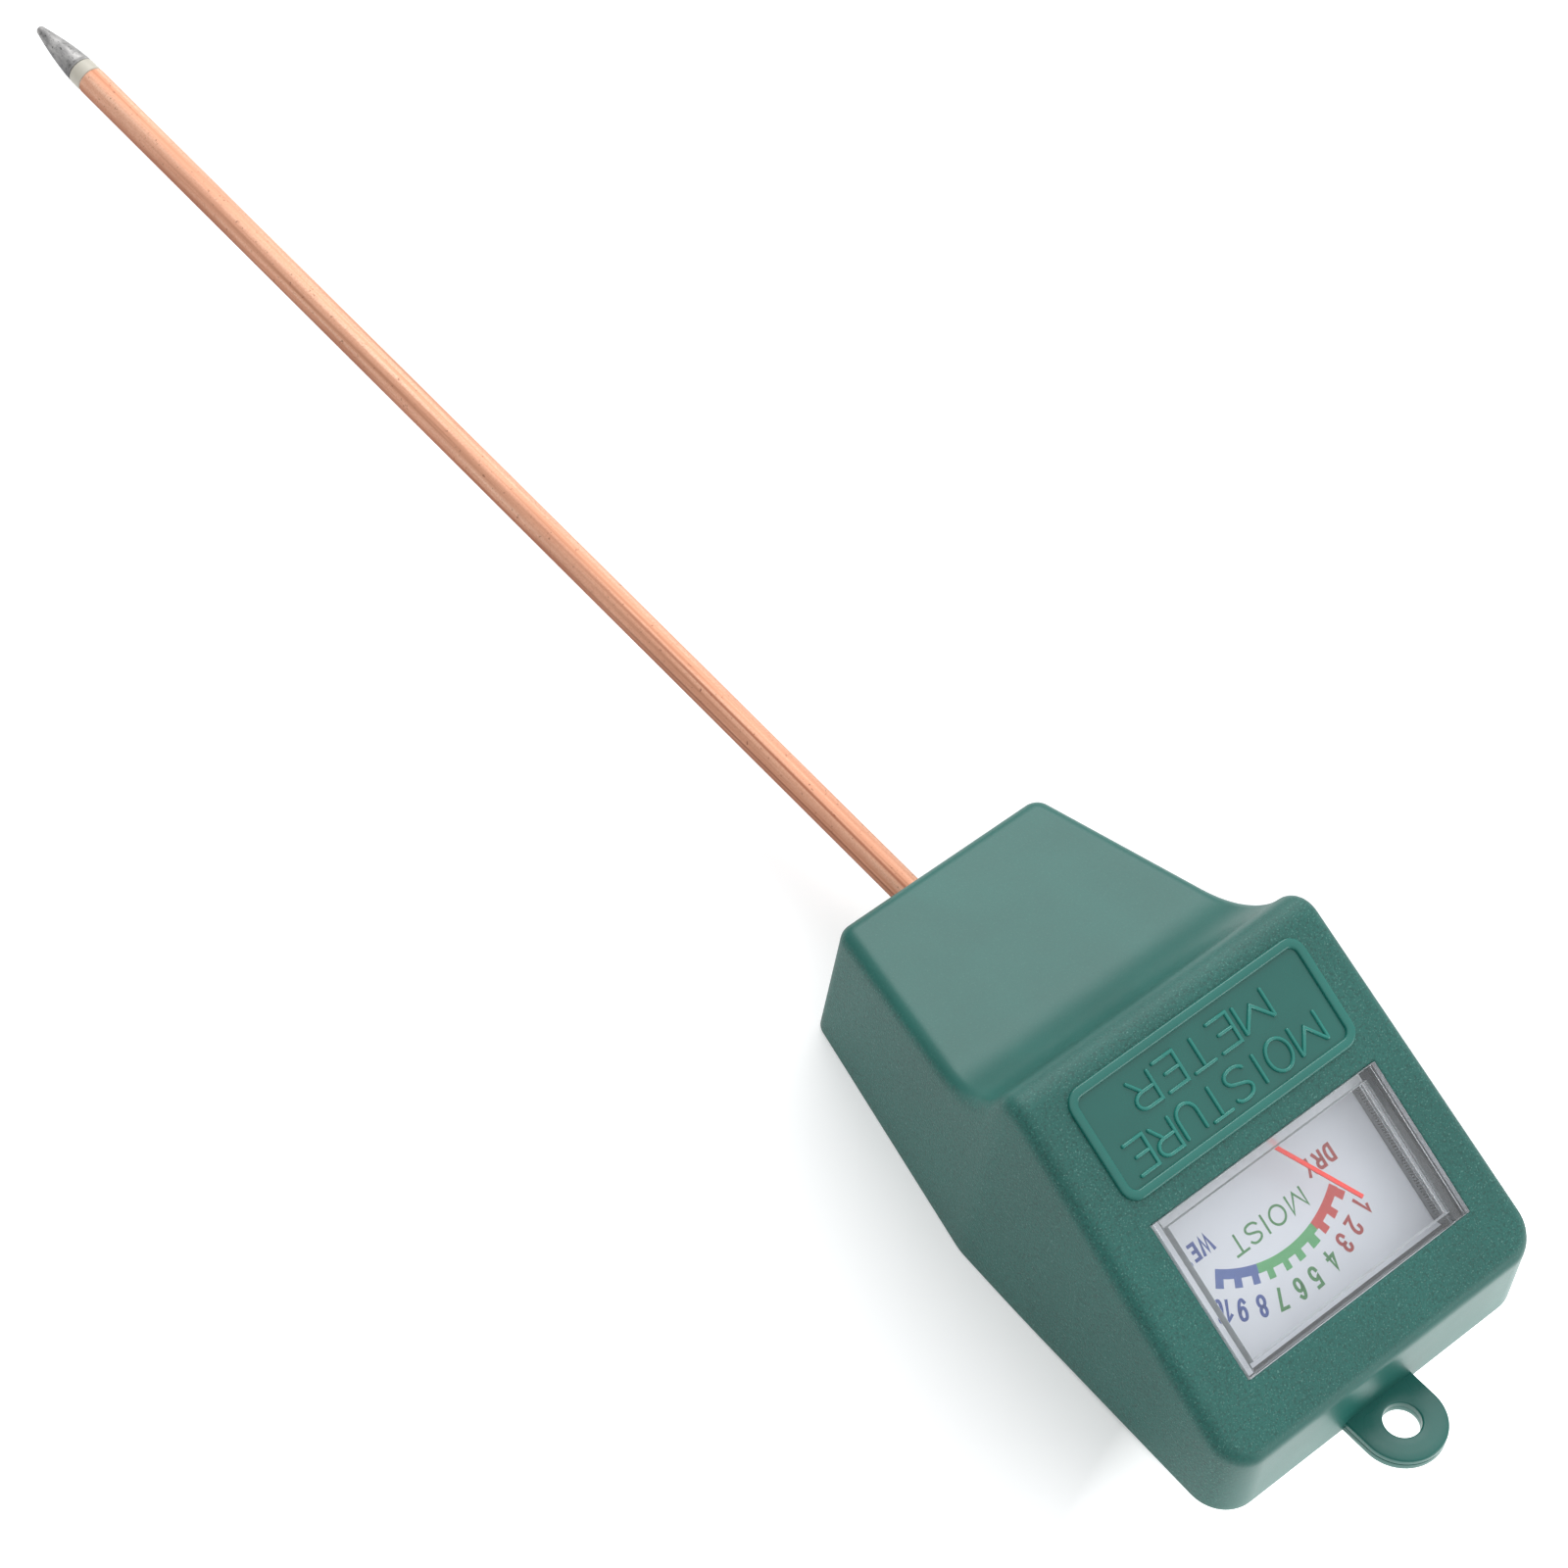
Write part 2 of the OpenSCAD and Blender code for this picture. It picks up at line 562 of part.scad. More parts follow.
// Hub with three balance arms on top of the coil, and a plain collet below it
hub_w = coil_top + 0.2;
arm_u = 4.2;
tail_v = 7.6;
module pointer_hub() color("#c4c7ca") on_coil() difference() {
    union() {
        translate([0, 0, coil_top]) cylinder(r = 0.85, h = top_cup - 0.3 - coil_top);
        translate([0, 0, coil_top]) cylinder(r = 1.7, h = hub_w - coil_top);
        box(-arm_u - 0.9, arm_u + 0.9, -0.3, 0.3, coil_top, hub_w);
        box(-0.3, 0.3, -tail_v - 0.9, 0, coil_top, hub_w);
        translate([0, 0, coil_bottom - 1.2]) cylinder(r = 0.85, h = 1.2);
    }
    translate([0, 0, coil_top - 1]) cylinder(r = pivot_r, h = 4);
    translate([0, 0, coil_bottom - 2]) cylinder(r = pivot_r, h = 4);
}

// Two small weights on the side arms, and a heavier one on the tail that balances the needle
module weight(r, h) rotate([0, 90, 0]) translate([0, 0, -h / 2]) tube(r, 0.33, h);
module balance_weights() color("#a9abad") on_coil() translate([0, 0, coil_top + 0.1]) {
    for (s = [-1, 1]) translate([s * arm_u, 0, 0]) weight(0.7, 0.9);
    translate([0, -tail_v, 0]) rotate([0, 0, 90]) weight(0.95, 1.6);
}

// Cranked needle: low at the hub, then up and level above the dial
module pointer() color("#f2543c") on_coil() let (low = hub_w, high = pointer_w, t = 0.35)
    rotate([0, -90, 0]) translate([0, 0, -0.35]) linear_extrude(0.7) polygon([
        [low, 1.2], [low, 3.4], [high - t / 2, 7.6], [high - t / 2, pointer_len], [high + t / 2, pointer_len],
        [high + t / 2, 7.4], [low + t, 3.2], [low + t, 1.2]]);

in_frame() front_housing();
in_frame() rear_cover();
in_frame() cover_screws();
in_frame() probe_tube();
in_frame() tip_insulator();
in_frame() probe_tip();
in_frame() probe_sleeve();
in_frame() core_rod();
in_frame() probe_bush();
in_frame() insulating_washer();
in_frame() tube_terminal();
in_frame() rod_terminal();
in_frame() rod_nut();
in_frame() red_lead();
in_frame() black_lead();
in_frame() meter_lens();
in_frame() meter_base();
in_frame() meter_screws();
in_frame() terminal_pins();
in_frame() dial_plate();
in_frame() movement_frame();
in_frame() movement_screws();
in_frame() yoke_ring();
in_frame() core_magnet();
in_frame() core_pin();
in_frame() top_bridge();
in_frame() bridge_screws();
in_frame() top_jewel();
in_frame() bottom_jewel();
in_frame() zero_arm();
in_frame() upper_hairspring();
in_frame() lower_hairspring();
in_frame() coil_frame();
in_frame() coil_winding();
in_frame() coil_pivots();
in_frame() pointer_hub();
in_frame() balance_weights();
in_frame() pointer();
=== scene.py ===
import json
import math

import bmesh
import bpy
import numpy as np
from mathutils import Matrix, Vector

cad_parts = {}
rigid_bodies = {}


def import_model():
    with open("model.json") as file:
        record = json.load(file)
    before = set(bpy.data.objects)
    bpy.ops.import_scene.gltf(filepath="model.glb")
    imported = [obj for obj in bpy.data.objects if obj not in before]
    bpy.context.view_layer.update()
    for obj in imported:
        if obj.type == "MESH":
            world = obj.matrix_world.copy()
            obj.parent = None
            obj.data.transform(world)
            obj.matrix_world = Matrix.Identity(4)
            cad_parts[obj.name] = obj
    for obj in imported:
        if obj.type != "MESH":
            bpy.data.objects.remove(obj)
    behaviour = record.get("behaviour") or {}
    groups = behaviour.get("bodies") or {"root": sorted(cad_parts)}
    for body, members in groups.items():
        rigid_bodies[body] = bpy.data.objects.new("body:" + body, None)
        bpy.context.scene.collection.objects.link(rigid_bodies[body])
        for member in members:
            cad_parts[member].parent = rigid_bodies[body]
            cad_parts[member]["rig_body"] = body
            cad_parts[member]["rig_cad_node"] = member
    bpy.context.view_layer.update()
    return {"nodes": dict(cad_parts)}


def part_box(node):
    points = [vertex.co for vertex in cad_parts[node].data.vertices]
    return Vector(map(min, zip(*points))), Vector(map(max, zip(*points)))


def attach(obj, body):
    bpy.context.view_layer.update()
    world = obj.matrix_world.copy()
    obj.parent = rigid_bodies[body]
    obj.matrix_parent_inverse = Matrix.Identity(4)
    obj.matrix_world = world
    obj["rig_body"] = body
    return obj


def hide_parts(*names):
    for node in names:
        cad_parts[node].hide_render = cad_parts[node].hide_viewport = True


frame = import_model()

# ---- measures, in mm
# x runs across, y from the neck end up to the hang tab, and z from the back to the dial side.
MM = 0.001
NECK_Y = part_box("front_housing")[0].y / MM  # the neck end in the frame
NECK_W, LIP_W, TOP_W = 21.0, 31.0, 33.0  # half widths of the housing
NECK_Z = 26.0  # corners of the dial side's line, from the neck end up
SHELF_Y, SHELF_Z = 38.5, 31.0
LIP_Y, LIP_Z = 44.0, 44.5
END_Y, END_Z = 102.0, 16.0
END_LEAN = 0.5  # the end face leans out by this much at the back
SHELF_R, LIP_R = 15.0, 4.5
EDGE_R, FOOT_R = 2.5, 0.5  # rounding of the long edges, and of the rim at the back
WALL = 2.2
FACE_ANGLE = math.atan2(LIP_Z - END_Z, END_Y - LIP_Y)
COS_F, SIN_F = math.cos(FACE_ANGLE), math.sin(FACE_ANGLE)
BEND_Y, BEND_SOFT = 57.0, 7.0  # the bend of the back, and how far it is soft to each side
BACK_RISE, BACK_RUN = 2.25, END_Y + END_LEAN - BEND_Y
BACK_ANGLE = math.atan2(BACK_RISE, BACK_RUN)
U0, U1, V0, V1 = -24.25, 22.25, 27.85, 54.35  # the window's edges on the dial face
GAP, CHAMFER = 0.12, 0.3  # clearance round the lens, and the opening's soft edge
MARGIN = GAP + CHAMFER
DIAL_W = -8.5  # the dial plate's surface, under the dial face
PROBE_Z, PROBE_R = 12.5, 2.5
TAB_Y, TAB_R, TAB_ROOT, HANG_R = 107.5, 7.1, 6.5, 3.0


def place(x, y, z):
    """A point given from the neck end, in metres in the model's frame."""
    return (x * MM, (y + NECK_Y) * MM, z * MM)


def on_face(u, v, w):
    """A point of the dial face: u across, v up the face from the lip, w out of it, all in mm."""
    return place(u, LIP_Y + v * COS_F + w * SIN_F, LIP_Z - v * SIN_F + w * COS_F)


def on_back(x, y, z):
    """A point over the upper back: y up the back from its bend, z towards the dial side."""
    c, s = math.cos(BACK_ANGLE), math.sin(BACK_ANGLE)
    return place(x, BEND_Y + y * c - z * s, y * s + z * c)


def clamp(value):
    return max(0.0, min(1.0, value))


def ease(value, start, run):
    """Rises smoothly from 0 at the start to 1 after the run."""
    t = clamp((value - start) / run)
    return t * t * (3 - 2 * t)


# ---- mesh helpers
SMOOTH = 35.0  # edges sharper than this many degrees stay sharp


def link(thing):
    bpy.context.scene.collection.objects.link(thing)
    return thing


def new_piece(name, shape, material, replaced=(), smooth=SMOOTH):
    """A piece of the case from a builder's points in metres, standing for the CAD nodes it replaces."""
    mesh = bpy.data.meshes.new(name)
    mesh.from_pydata([tuple(p) for p in shape.points], [], [tuple(f) for f in shape.faces])
    mesh.validate()
    bm = bmesh.new()
    bm.from_mesh(mesh)
    bmesh.ops.recalc_face_normals(bm, faces=bm.faces)
    bm.to_mesh(mesh)
    bm.free()
    return dress(link(bpy.data.objects.new(name, mesh)), material, replaced, "case", smooth)


def dress(piece, material, replaced, body, smooth):
    """Gives a piece its material, shading and body, and hides the CAD nodes it stands for."""
    mesh = piece.data
    mesh.materials.clear()
    mesh.materials.append(material)
    mesh.shade_smooth()
    mesh.set_sharp_from_angle(angle=math.radians(smooth))
    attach(piece, body)
    if replaced:
        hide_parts(*replaced)
    return piece


class Builder:
    """Collects points in metres and faces."""

    def __init__(self):
        self.points, self.faces = [], []

    def add(self, points):
        start = len(self.points)
        self.points.extend(points)
        return list(range(start, start + len(points)))

    def join(self, a, b):
        """Joins two rings of points by quads."""
        for i in range(len(a)):
            j = (i + 1) % len(a)
            self.faces.append((a[i], a[j], b[j], b[i]))


def loft(rings, endless=False):
    """A shape from rings joined in a row, with the last joined to the first or both ends capped."""
    shape = Builder()
    made = [shape.add(ring) for ring in rings]
    for a, b in zip(made, made[1:]):
        shape.join(a, b)
    if endless:
        shape.join(made[-1], made[0])
    else:
        shape.faces += [tuple(made[0]), tuple(made[-1])]
    return shape


def unit(v):
    v = np.asarray(v, float)
    return v / np.linalg.norm(v)


ROUND_STEPS = 64


def turned(profile):
    """A turned shape on the probe's axis, from (distance out of the neck end, radius) pairs."""
    out = np.array((0.0, -1.0, 0.0))
    side = unit((-0.93, 0.0, 0.31))  # where every ring starts
    up = np.cross(out, side)
    rings = []
    for reach, radius in profile:
        centre = np.asarray(place(0, 0, PROBE_Z)) + out * reach * MM
        rings.append([centre + (side * math.cos(t) + up * math.sin(t)) * radius * MM
                      for t in np.linspace(0, 2 * math.pi, ROUND_STEPS, endpoint=False)])
    return loft(rings)


def corner_arc(a, b, c, radius, steps):
    """Centre of the arc that rounds the corner b between a and c, and the directions from it."""
    p, q = unit(a - b), unit(c - b)
    half = math.acos(np.clip(p @ q, -1, 1)) / 2
    centre = b + unit(p + q) * radius / math.sin(half)
    start, end = (b + way * radius / math.tan(half) - centre for way in (p, q))
    t0, t1 = math.atan2(start[1], start[0]), math.atan2(end[1], end[0])
    t1 = t0 + (t1 - t0 + math.pi) % (2 * math.pi) - math.pi
    return centre, [np.array((math.cos(t), math.sin(t))) for t in np.linspace(t0, t1, steps + 1)]


WELD = 2e-6  # points this near are one point, in metres
FLAT_ANGLE, SHARP_ANGLE = 1.0, 30.0  # degrees


def bevelled(node, name, width, material, body="case"):
    """A copy of a CAD node with softened edges, standing for that node."""
    piece = frame["nodes"][node].copy()
    piece.data = piece.data.copy()
    piece.name = name
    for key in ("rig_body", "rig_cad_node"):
        if key in piece:
            del piece[key]
    bm = bmesh.new()
    bm.from_mesh(piece.data)
    bmesh.ops.remove_doubles(bm, verts=bm.verts, dist=WELD)
    bmesh.ops.dissolve_limit(bm, angle_limit=math.radians(FLAT_ANGLE), verts=bm.verts, edges=bm.edges)
    edges = [e for e in bm.edges if len(e.link_faces) == 2
             and e.calc_face_angle(0) > math.radians(SHARP_ANGLE)]
    bmesh.ops.bevel(bm, geom=edges, offset=width * MM, segments=2, profile=0.6,
                    affect="EDGES", clamp_overlap=True)
    bm.to_mesh(piece.data)
    bm.free()
    return dress(link(piece), material, (node,), body, 32)


# ---- materials
class Shader:
    """A short way to write node materials."""

    def __init__(self, name):
        self.material = bpy.data.materials.new(name)
        self.material.use_nodes = True
        self.tree = self.material.node_tree
        self.tree.nodes.clear()
        self.out = self.tree.nodes.new("ShaderNodeOutputMaterial")
        self.coords = self.node("ShaderNodeTexCoord").outputs["Object"]

    def node(self, kind, inputs=None, **settings):
        n = self.tree.nodes.new(kind)
        for key, value in settings.items():
            setattr(n, key, value)
        for key, value in (inputs or {}).items():
            self.put(n.inputs[key], value)
        return n

    def put(self, socket, value):
        if isinstance(value, bpy.types.NodeSocket):
            self.tree.links.new(value, socket)
        else:
            socket.default_value = value

    def noise(self, scale, detail, rough, stretch=(1, 1, 1)):
        m = self.node("ShaderNodeMapping", {"Vector": self.coords, "Scale": stretch})
        return self.node("ShaderNodeTexNoise", {
            "Vector": m.outputs[0], "Scale": scale, "Detail": detail, "Roughness": rough}).outputs["Fac"]

    def ramp(self, value, stops):
        n = self.node("ShaderNodeValToRGB", {"Fac": value})
        el = n.color_ramp.elements
        while len(el) > 1:
            el.remove(el[-1])
        for i, (at, colour) in enumerate(stops):
            e = el[0] if i == 0 else el.new(at)
            e.position = at
            e.color = (*colour, 1)
        return n.outputs["Color"]

    def remap(self, value, a, b, c, d):
        return self.node("ShaderNodeMapRange", {0: value, 1: a, 2: b, 3: c, 4: d}).outputs[0]

    def spread(self, noise, low, high):
        """The noise, which lies mostly from 0.3 to 0.7, spread from low to high."""
        return self.remap(noise, 0.3, 0.7, low, high)

    def vector(self, how, a, b=(0, 0, 0)):
        return self.node("ShaderNodeVectorMath", {0: a, 1: b}, operation=how).outputs

    def math(self, how, a, b=0.0):
        return self.node("ShaderNodeMath", {0: a, 1: b}, operation=how).outputs[0]

    def mix(self, factor, a, b):
        """A mix of two colours. The node's sockets 6, 7 and output 2 are the ones for colours."""
        n = self.node("ShaderNodeMix", {0: factor}, data_type="RGBA")
        for key, value in ((6, a), (7, b)):
            self.put(n.inputs[key], (*value, 1) if isinstance(value, tuple) else value)
        return n.outputs[2]

    def bump(self, height, strength, distance, normal=None):
        inputs = {"Height": height, "Strength": strength, "Distance": distance}
        if normal is not None:
            inputs["Normal"] = normal
        return self.node("ShaderNodeBump", inputs).outputs[0]

    def principled(self, **inputs):
        n = self.node("ShaderNodeBsdfPrincipled")
        for key, value in inputs.items():
            key = key.replace("_", " ")
            if isinstance(value, tuple) and len(value) == 3 and "Colo" in key:
                value = (*value, 1)
            self.put(n.inputs[key], value)
        return n.outputs[0]

    def done(self, surface):
        self.tree.links.new(surface, self.out.inputs["Surface"])
        return self.material


def srgb(*levels):
    """A colour from levels of 0 to 255."""
    return tuple(c / 12.92 if c <= 0.04045 else ((c + 0.055) / 1.055) ** 2.4
                 for c in (level / 255 for level in levels))


def shade(colour, factor):
    return tuple(c * factor for c in colour)


GREEN = (0.0085, 0.115, 0.094)


def green_plastic(name, spark, painted_light=1.0, gloss=0.28):
    """Moulded green plastic. The attribute "spark" says how strong the fine spark-eroded grain is, and with
    it the painted shade in the grain's pits.
    """
    s = Shader(name)
    grain = s.noise(2400, 3, 0.65)
    pores = s.noise(3600, 2, 0.5)
    cloud = s.noise(60, 3, 0.5)
    # a factor over 1 makes a lighter copy of the plastic: painted light for the raised bead and letters
    tone = s.mix(s.remap(cloud, 0.35, 0.65, 0.0, 1.0), shade(GREEN, 0.93 * painted_light), shade(GREEN, 1.07 * painted_light))
    if spark:
        amount = s.node("ShaderNodeAttribute", attribute_name="spark").outputs["Fac"]
        # painted shade: the grain's pits are darkened, as shade falling in them
        pit_shade = s.math("MULTIPLY", s.remap(grain, 0.52, 0.36, 0.0, 0.55), amount)
        tone = s.mix(pit_shade, tone, shade(GREEN, 0.35))
        fleck = s.math("MULTIPLY", s.remap(pores, 0.60, 0.70, 0.0, 1.0), amount)
        tone = s.mix(s.math("MULTIPLY", fleck, 0.3), tone, srgb(128, 182, 172))
        rough = s.remap(amount, 0, 1, 0.36, 0.50)
        waves = s.bump(s.noise(75, 2, 0.5), 0.25, 0.6 * MM)
        normal = s.bump(s.math("MULTIPLY", grain, amount), 0.8, 0.16 * MM, waves)
    else:
        rough = s.spread(cloud, gloss - 0.04, gloss + 0.04)
        waves = s.bump(s.noise(90, 2, 0.5), 0.12, 0.5 * MM)
        normal = s.bump(s.noise(700, 2, 0.5), 0.06, 0.1 * MM, waves)
    return s.done(s.principled(Base_Color=tone, Roughness=rough, Normal=normal, IOR=1.5))


SHADED_SIDE = -30  # the direction of the probe's side that is painted darker, as painted shade
CROWN, SIDE = 63, 10  # the directions of its two die lines
TARNISH = srgb(158, 92, 66)


def around(s, angle):
    """Distance from the probe's axis towards a direction, in degrees up from level on the +x side."""
    way = (math.cos(math.radians(angle)), 0, math.sin(math.radians(angle)))
    off_axis = s.vector("SUBTRACT", s.coords, place(0, 0, PROBE_Z))[0]
    return s.vector("DOT_PRODUCT", off_axis, way)["Value"]


def shaded_flank(s, start, end, amount):
    """How much painted shade there is: none up to the start and all of it from the end, in mm towards the
    shaded side.
    """
    wander = s.spread(s.noise(140, 3, 0.6, stretch=(1, 0.2, 1)), -0.3 * MM, 0.3 * MM)
    toward = s.math("ADD", around(s, SHADED_SIDE), wander)
    return s.remap(toward, start * MM, end * MM, 0.0, amount)


def die_line(s, angle, width, amount):
    """A long line left by the drawing die, strongest near the housing and gone half way to the point."""
    wander = s.spread(s.noise(60, 2, 0.5, stretch=(1, 0.1, 1)), -0.12 * MM, 0.12 * MM)
    off = s.math("ABSOLUTE", s.math("ADD", around(s, angle + 90), wander))
    near = s.remap(off, 0.3 * width * MM, width * MM, amount, 0.0)
    y = s.node("ShaderNodeSeparateXYZ", {"Vector": s.coords}).outputs["Y"]
    return s.math("MULTIPLY", near, s.remap(y, -135 * MM, -80 * MM, 0.0, 1.0))


def copper():
    """Drawn copper tube: fine lines along it, two die lines, painted shade along its lower flank and a few
    pits.
    """
    s = Shader("copper_drawn")
    lines = s.noise(900, 3, 0.6, stretch=(1, 0.012, 1))
    broad = s.noise(260, 2, 0.5, stretch=(1, 0.02, 1))
    cloud = s.noise(90, 4, 0.6, stretch=(1, 0.35, 1))
    pits = s.noise(1500, 2, 0.5)
    tone = s.ramp(s.spread(lines, 0, 1), [(0.0, srgb(192, 134, 104)), (0.45, srgb(230, 176, 147)),
                                          (1.0, srgb(247, 208, 182))])
    tone = s.mix(s.remap(s.noise(3200, 2, 0.6), 0.42, 0.62, 0.0, 0.35), tone, srgb(206, 142, 114))
    tone = s.mix(s.remap(cloud, 0.45, 0.8, 0.0, 0.5), tone, srgb(216, 150, 122))
    tone = s.mix(s.remap(pits, 0.66, 0.76, 0.0, 0.7), tone, srgb(132, 80, 62))
    # painted shade: the tube's lower flank is darkened towards its lower edge
    tone = s.mix(shaded_flank(s, 1.3, 2.5, 0.8), tone, srgb(150, 92, 68))
    tone = s.mix(die_line(s, CROWN, 0.34, 0.75), tone, TARNISH)
    tone = s.mix(die_line(s, SIDE, 0.3, 0.7), tone, srgb(130, 76, 56))
    height = s.math("ADD", s.math("MULTIPLY", lines, 0.7), broad)
    return s.done(s.principled(
        Base_Color=tone, Metallic=0.5, Roughness=s.spread(broad, 0.46, 0.62),
        Specular_Tint=(0.72, 0.52, 0.44, 1), Normal=s.bump(height, 0.55, 0.14 * MM)))


def zinc():
    """Dull grey cast and turned metal of the point, with painted shade along its lower flank."""
    s = Shader("zinc_point")
    cloud = s.noise(420, 4, 0.65, stretch=(1, 0.45, 1))
    pits = s.noise(1900, 2, 0.5)
    turning = s.noise(2500, 1, 0.4, stretch=(0.02, 1, 0.02))
    tone = s.ramp(s.spread(cloud, 0, 1), [(0.0, srgb(118, 117, 117)), (1.0, srgb(202, 200, 198))])
    tone = s.mix(s.remap(pits, 0.60, 0.72, 0.0, 0.85), tone, srgb(74, 74, 74))
    # painted shade: the point's lower flank is darkened
    tone = s.mix(shaded_flank(s, 0.8, 2.0, 0.8), tone, srgb(84, 84, 86))
    height = s.math("ADD", s.math("MULTIPLY", turning, 0.5), pits)
    return s.done(s.principled(Base_Color=tone, Metallic=0.9, Roughness=s.spread(cloud, 0.42, 0.58),
                               Normal=s.bump(height, 0.3, 0.08 * MM)))


def plastic(name, colour, rough, grain=1800, strength=0.15, contrast=0.06):
    """Plain plastic or paint, a little cloudy and with a fine grain."""
    s = Shader(name)
    cloud = s.noise(180, 3, 0.55)
    tone = s.mix(s.remap(cloud, 0.35, 0.65, 0, 1), shade(colour, 1 - contrast), shade(colour, 1 + contrast))
    return s.done(s.principled(Base_Color=tone, Roughness=s.spread(cloud, rough - 0.05, rough + 0.05),
                               Normal=s.bump(s.noise(grain, 3, 0.55), strength, 0.06 * MM)))


def metal(name, dark, light, rough, stretch=(1, 1, 1), scale=700, strength=0.2):
    """Bare metal with a grain from dark to light and a few stains."""
    s = Shader(name)
    grain = s.noise(scale, 3, 0.6, stretch=stretch)
    stain = s.noise(160, 3, 0.6)
    tone = s.mix(s.remap(grain, 0.35, 0.65, 0, 1), dark, light)
    tone = s.mix(s.remap(stain, 0.55, 0.8, 0, 0.4), tone, shade(dark, 0.6))
    return s.done(s.principled(Base_Color=tone, Metallic=1.0,
                               Roughness=s.spread(stain, rough - 0.07, rough + 0.07),
                               Normal=s.bump(grain, strength, 0.04 * MM)))


STYRENE_IOR = 1.58


def clear_plastic():
    """Clear polystyrene, satin on its walls. Rays to the lamps go straight through, so the dial is lit."""
    s = Shader("clear_styrene")
    smear = s.noise(120, 3, 0.6)
    glass = s.principled(Base_Color=(0.975, 0.985, 0.99), Roughness=s.remap(smear, 0.4, 0.8, 0.0, 0.02),
                         IOR=STYRENE_IOR, Transmission_Weight=1.0,
                         Normal=s.bump(s.noise(45, 2, 0.5), 0.02, 0.3 * MM))
    satin = s.principled(Base_Color=(0.80, 0.81, 0.84), Roughness=0.4, IOR=STYRENE_IOR,
                         Transmission_Weight=0.35)
    edge = s.node("ShaderNodeAttribute", attribute_name="edge").outputs["Fac"]
    wall = s.math("MULTIPLY", edge, s.spread(s.noise(260, 3, 0.6), 0.72, 0.98))
    solid = s.node("ShaderNodeMixShader", {0: wall, 1: glass, 2: satin}).outputs[0]
    through = s.node("ShaderNodeBsdfTransparent", {"Color": (0.97, 0.98, 0.985, 1)}).outputs[0]
    rays = s.node("ShaderNodeLightPath").outputs
    lamp = s.math("MAXIMUM", rays["Is Shadow Ray"], rays["Is Diffuse Ray"])
    return s.done(s.node("ShaderNodeMixShader", {0: lamp, 1: solid, 2: through}).outputs[0])


def ink(name, colour):
    s = Shader(name)
    tone = s.mix(s.spread(s.noise(1600, 3, 0.6), 0, 1), shade(colour, 0.92), shade(colour, 1.06))
    return s.done(s.principled(Base_Color=tone, Roughness=0.5,
                               Normal=s.bump(s.noise(3500, 2, 0.5), 0.1, 0.03 * MM)))


MAT = {
    "green": green_plastic("green_sparked", True),
    "green_gloss": green_plastic("green_polished", False),
    # painted light: the bead and the letters are the same green plastic, made lighter as if catching more
    # light
    "green_bead_lit": green_plastic("green_bead_lit", False, 1.3, 0.2),
    "green_letters_lit": green_plastic("green_letters_lit", False, 1.75, 0.2),
    "copper": copper(),
    "zinc": zinc(),
    "ring": plastic("ring_moulded", srgb(190, 185, 172), 0.42),
    "sleeve": plastic("sleeve_extruded", srgb(226, 222, 208), 0.45),
    "bush": plastic("bush_nylon", srgb(224, 220, 208), 0.4),
    "fibre": plastic("washer_fibre", srgb(118, 52, 38), 0.6, 900, 0.3, 0.15),
    "grey": plastic("grey_moulded", srgb(108, 111, 115), 0.42, 1500, 0.12),
    "dial": plastic("dial_paint", srgb(223, 224, 231), 0.45, 2400, 0.08, 0.015),
    "red_wire": plastic("red_insulation", srgb(176, 28, 24), 0.3, 900, 0.1),
    "black_wire": plastic("black_insulation", srgb(26, 26, 28), 0.3, 900, 0.1),
    "jewel": plastic("jewel_ruby", srgb(176, 60, 88), 0.12, 900, 0.02),
    "brass": metal("brass_stamped", srgb(176, 134, 66), srgb(214, 176, 104), 0.34),
    "steel": metal("steel_plated", srgb(150, 153, 158), srgb(198, 200, 204), 0.3),
    "alloy": metal("alloy_cast", srgb(112, 115, 119), srgb(150, 153, 156), 0.45, scale=1200),
    "iron": metal("iron_machined", srgb(70, 72, 76), srgb(100, 102, 106), 0.42),
    "magnet": metal("magnet_sintered", srgb(46, 47, 50), srgb(70, 71, 74), 0.55, scale=1800),
    "aluminium": metal("aluminium_sheet", srgb(178, 181, 184), srgb(208, 210, 212), 0.33),
    "spring": metal("spring_bronze", srgb(170, 124, 60), srgb(208, 164, 96), 0.26),
    "winding": metal("winding_enamelled", srgb(132, 62, 28), srgb(196, 108, 58), 0.3, (1, 1, 0.05),
                     2600, 0.5),
    "clear": clear_plastic(),
    "needle": plastic("needle_enamel", srgb(252, 46, 26), 0.45, 2500, 0.06, 0.03),
    "ink_red": ink("ink_red", srgb(206, 62, 56)),
    "ink_green": ink("ink_green", srgb(84, 168, 104)),
    "ink_blue": ink("ink_blue", srgb(74, 98, 164)),
    "word_red": ink("word_red", srgb(172, 50, 44)),
    "word_green": ink("word_green", srgb(62, 134, 74)),
    "word_blue": ink("word_blue", srgb(50, 76, 152)),
}
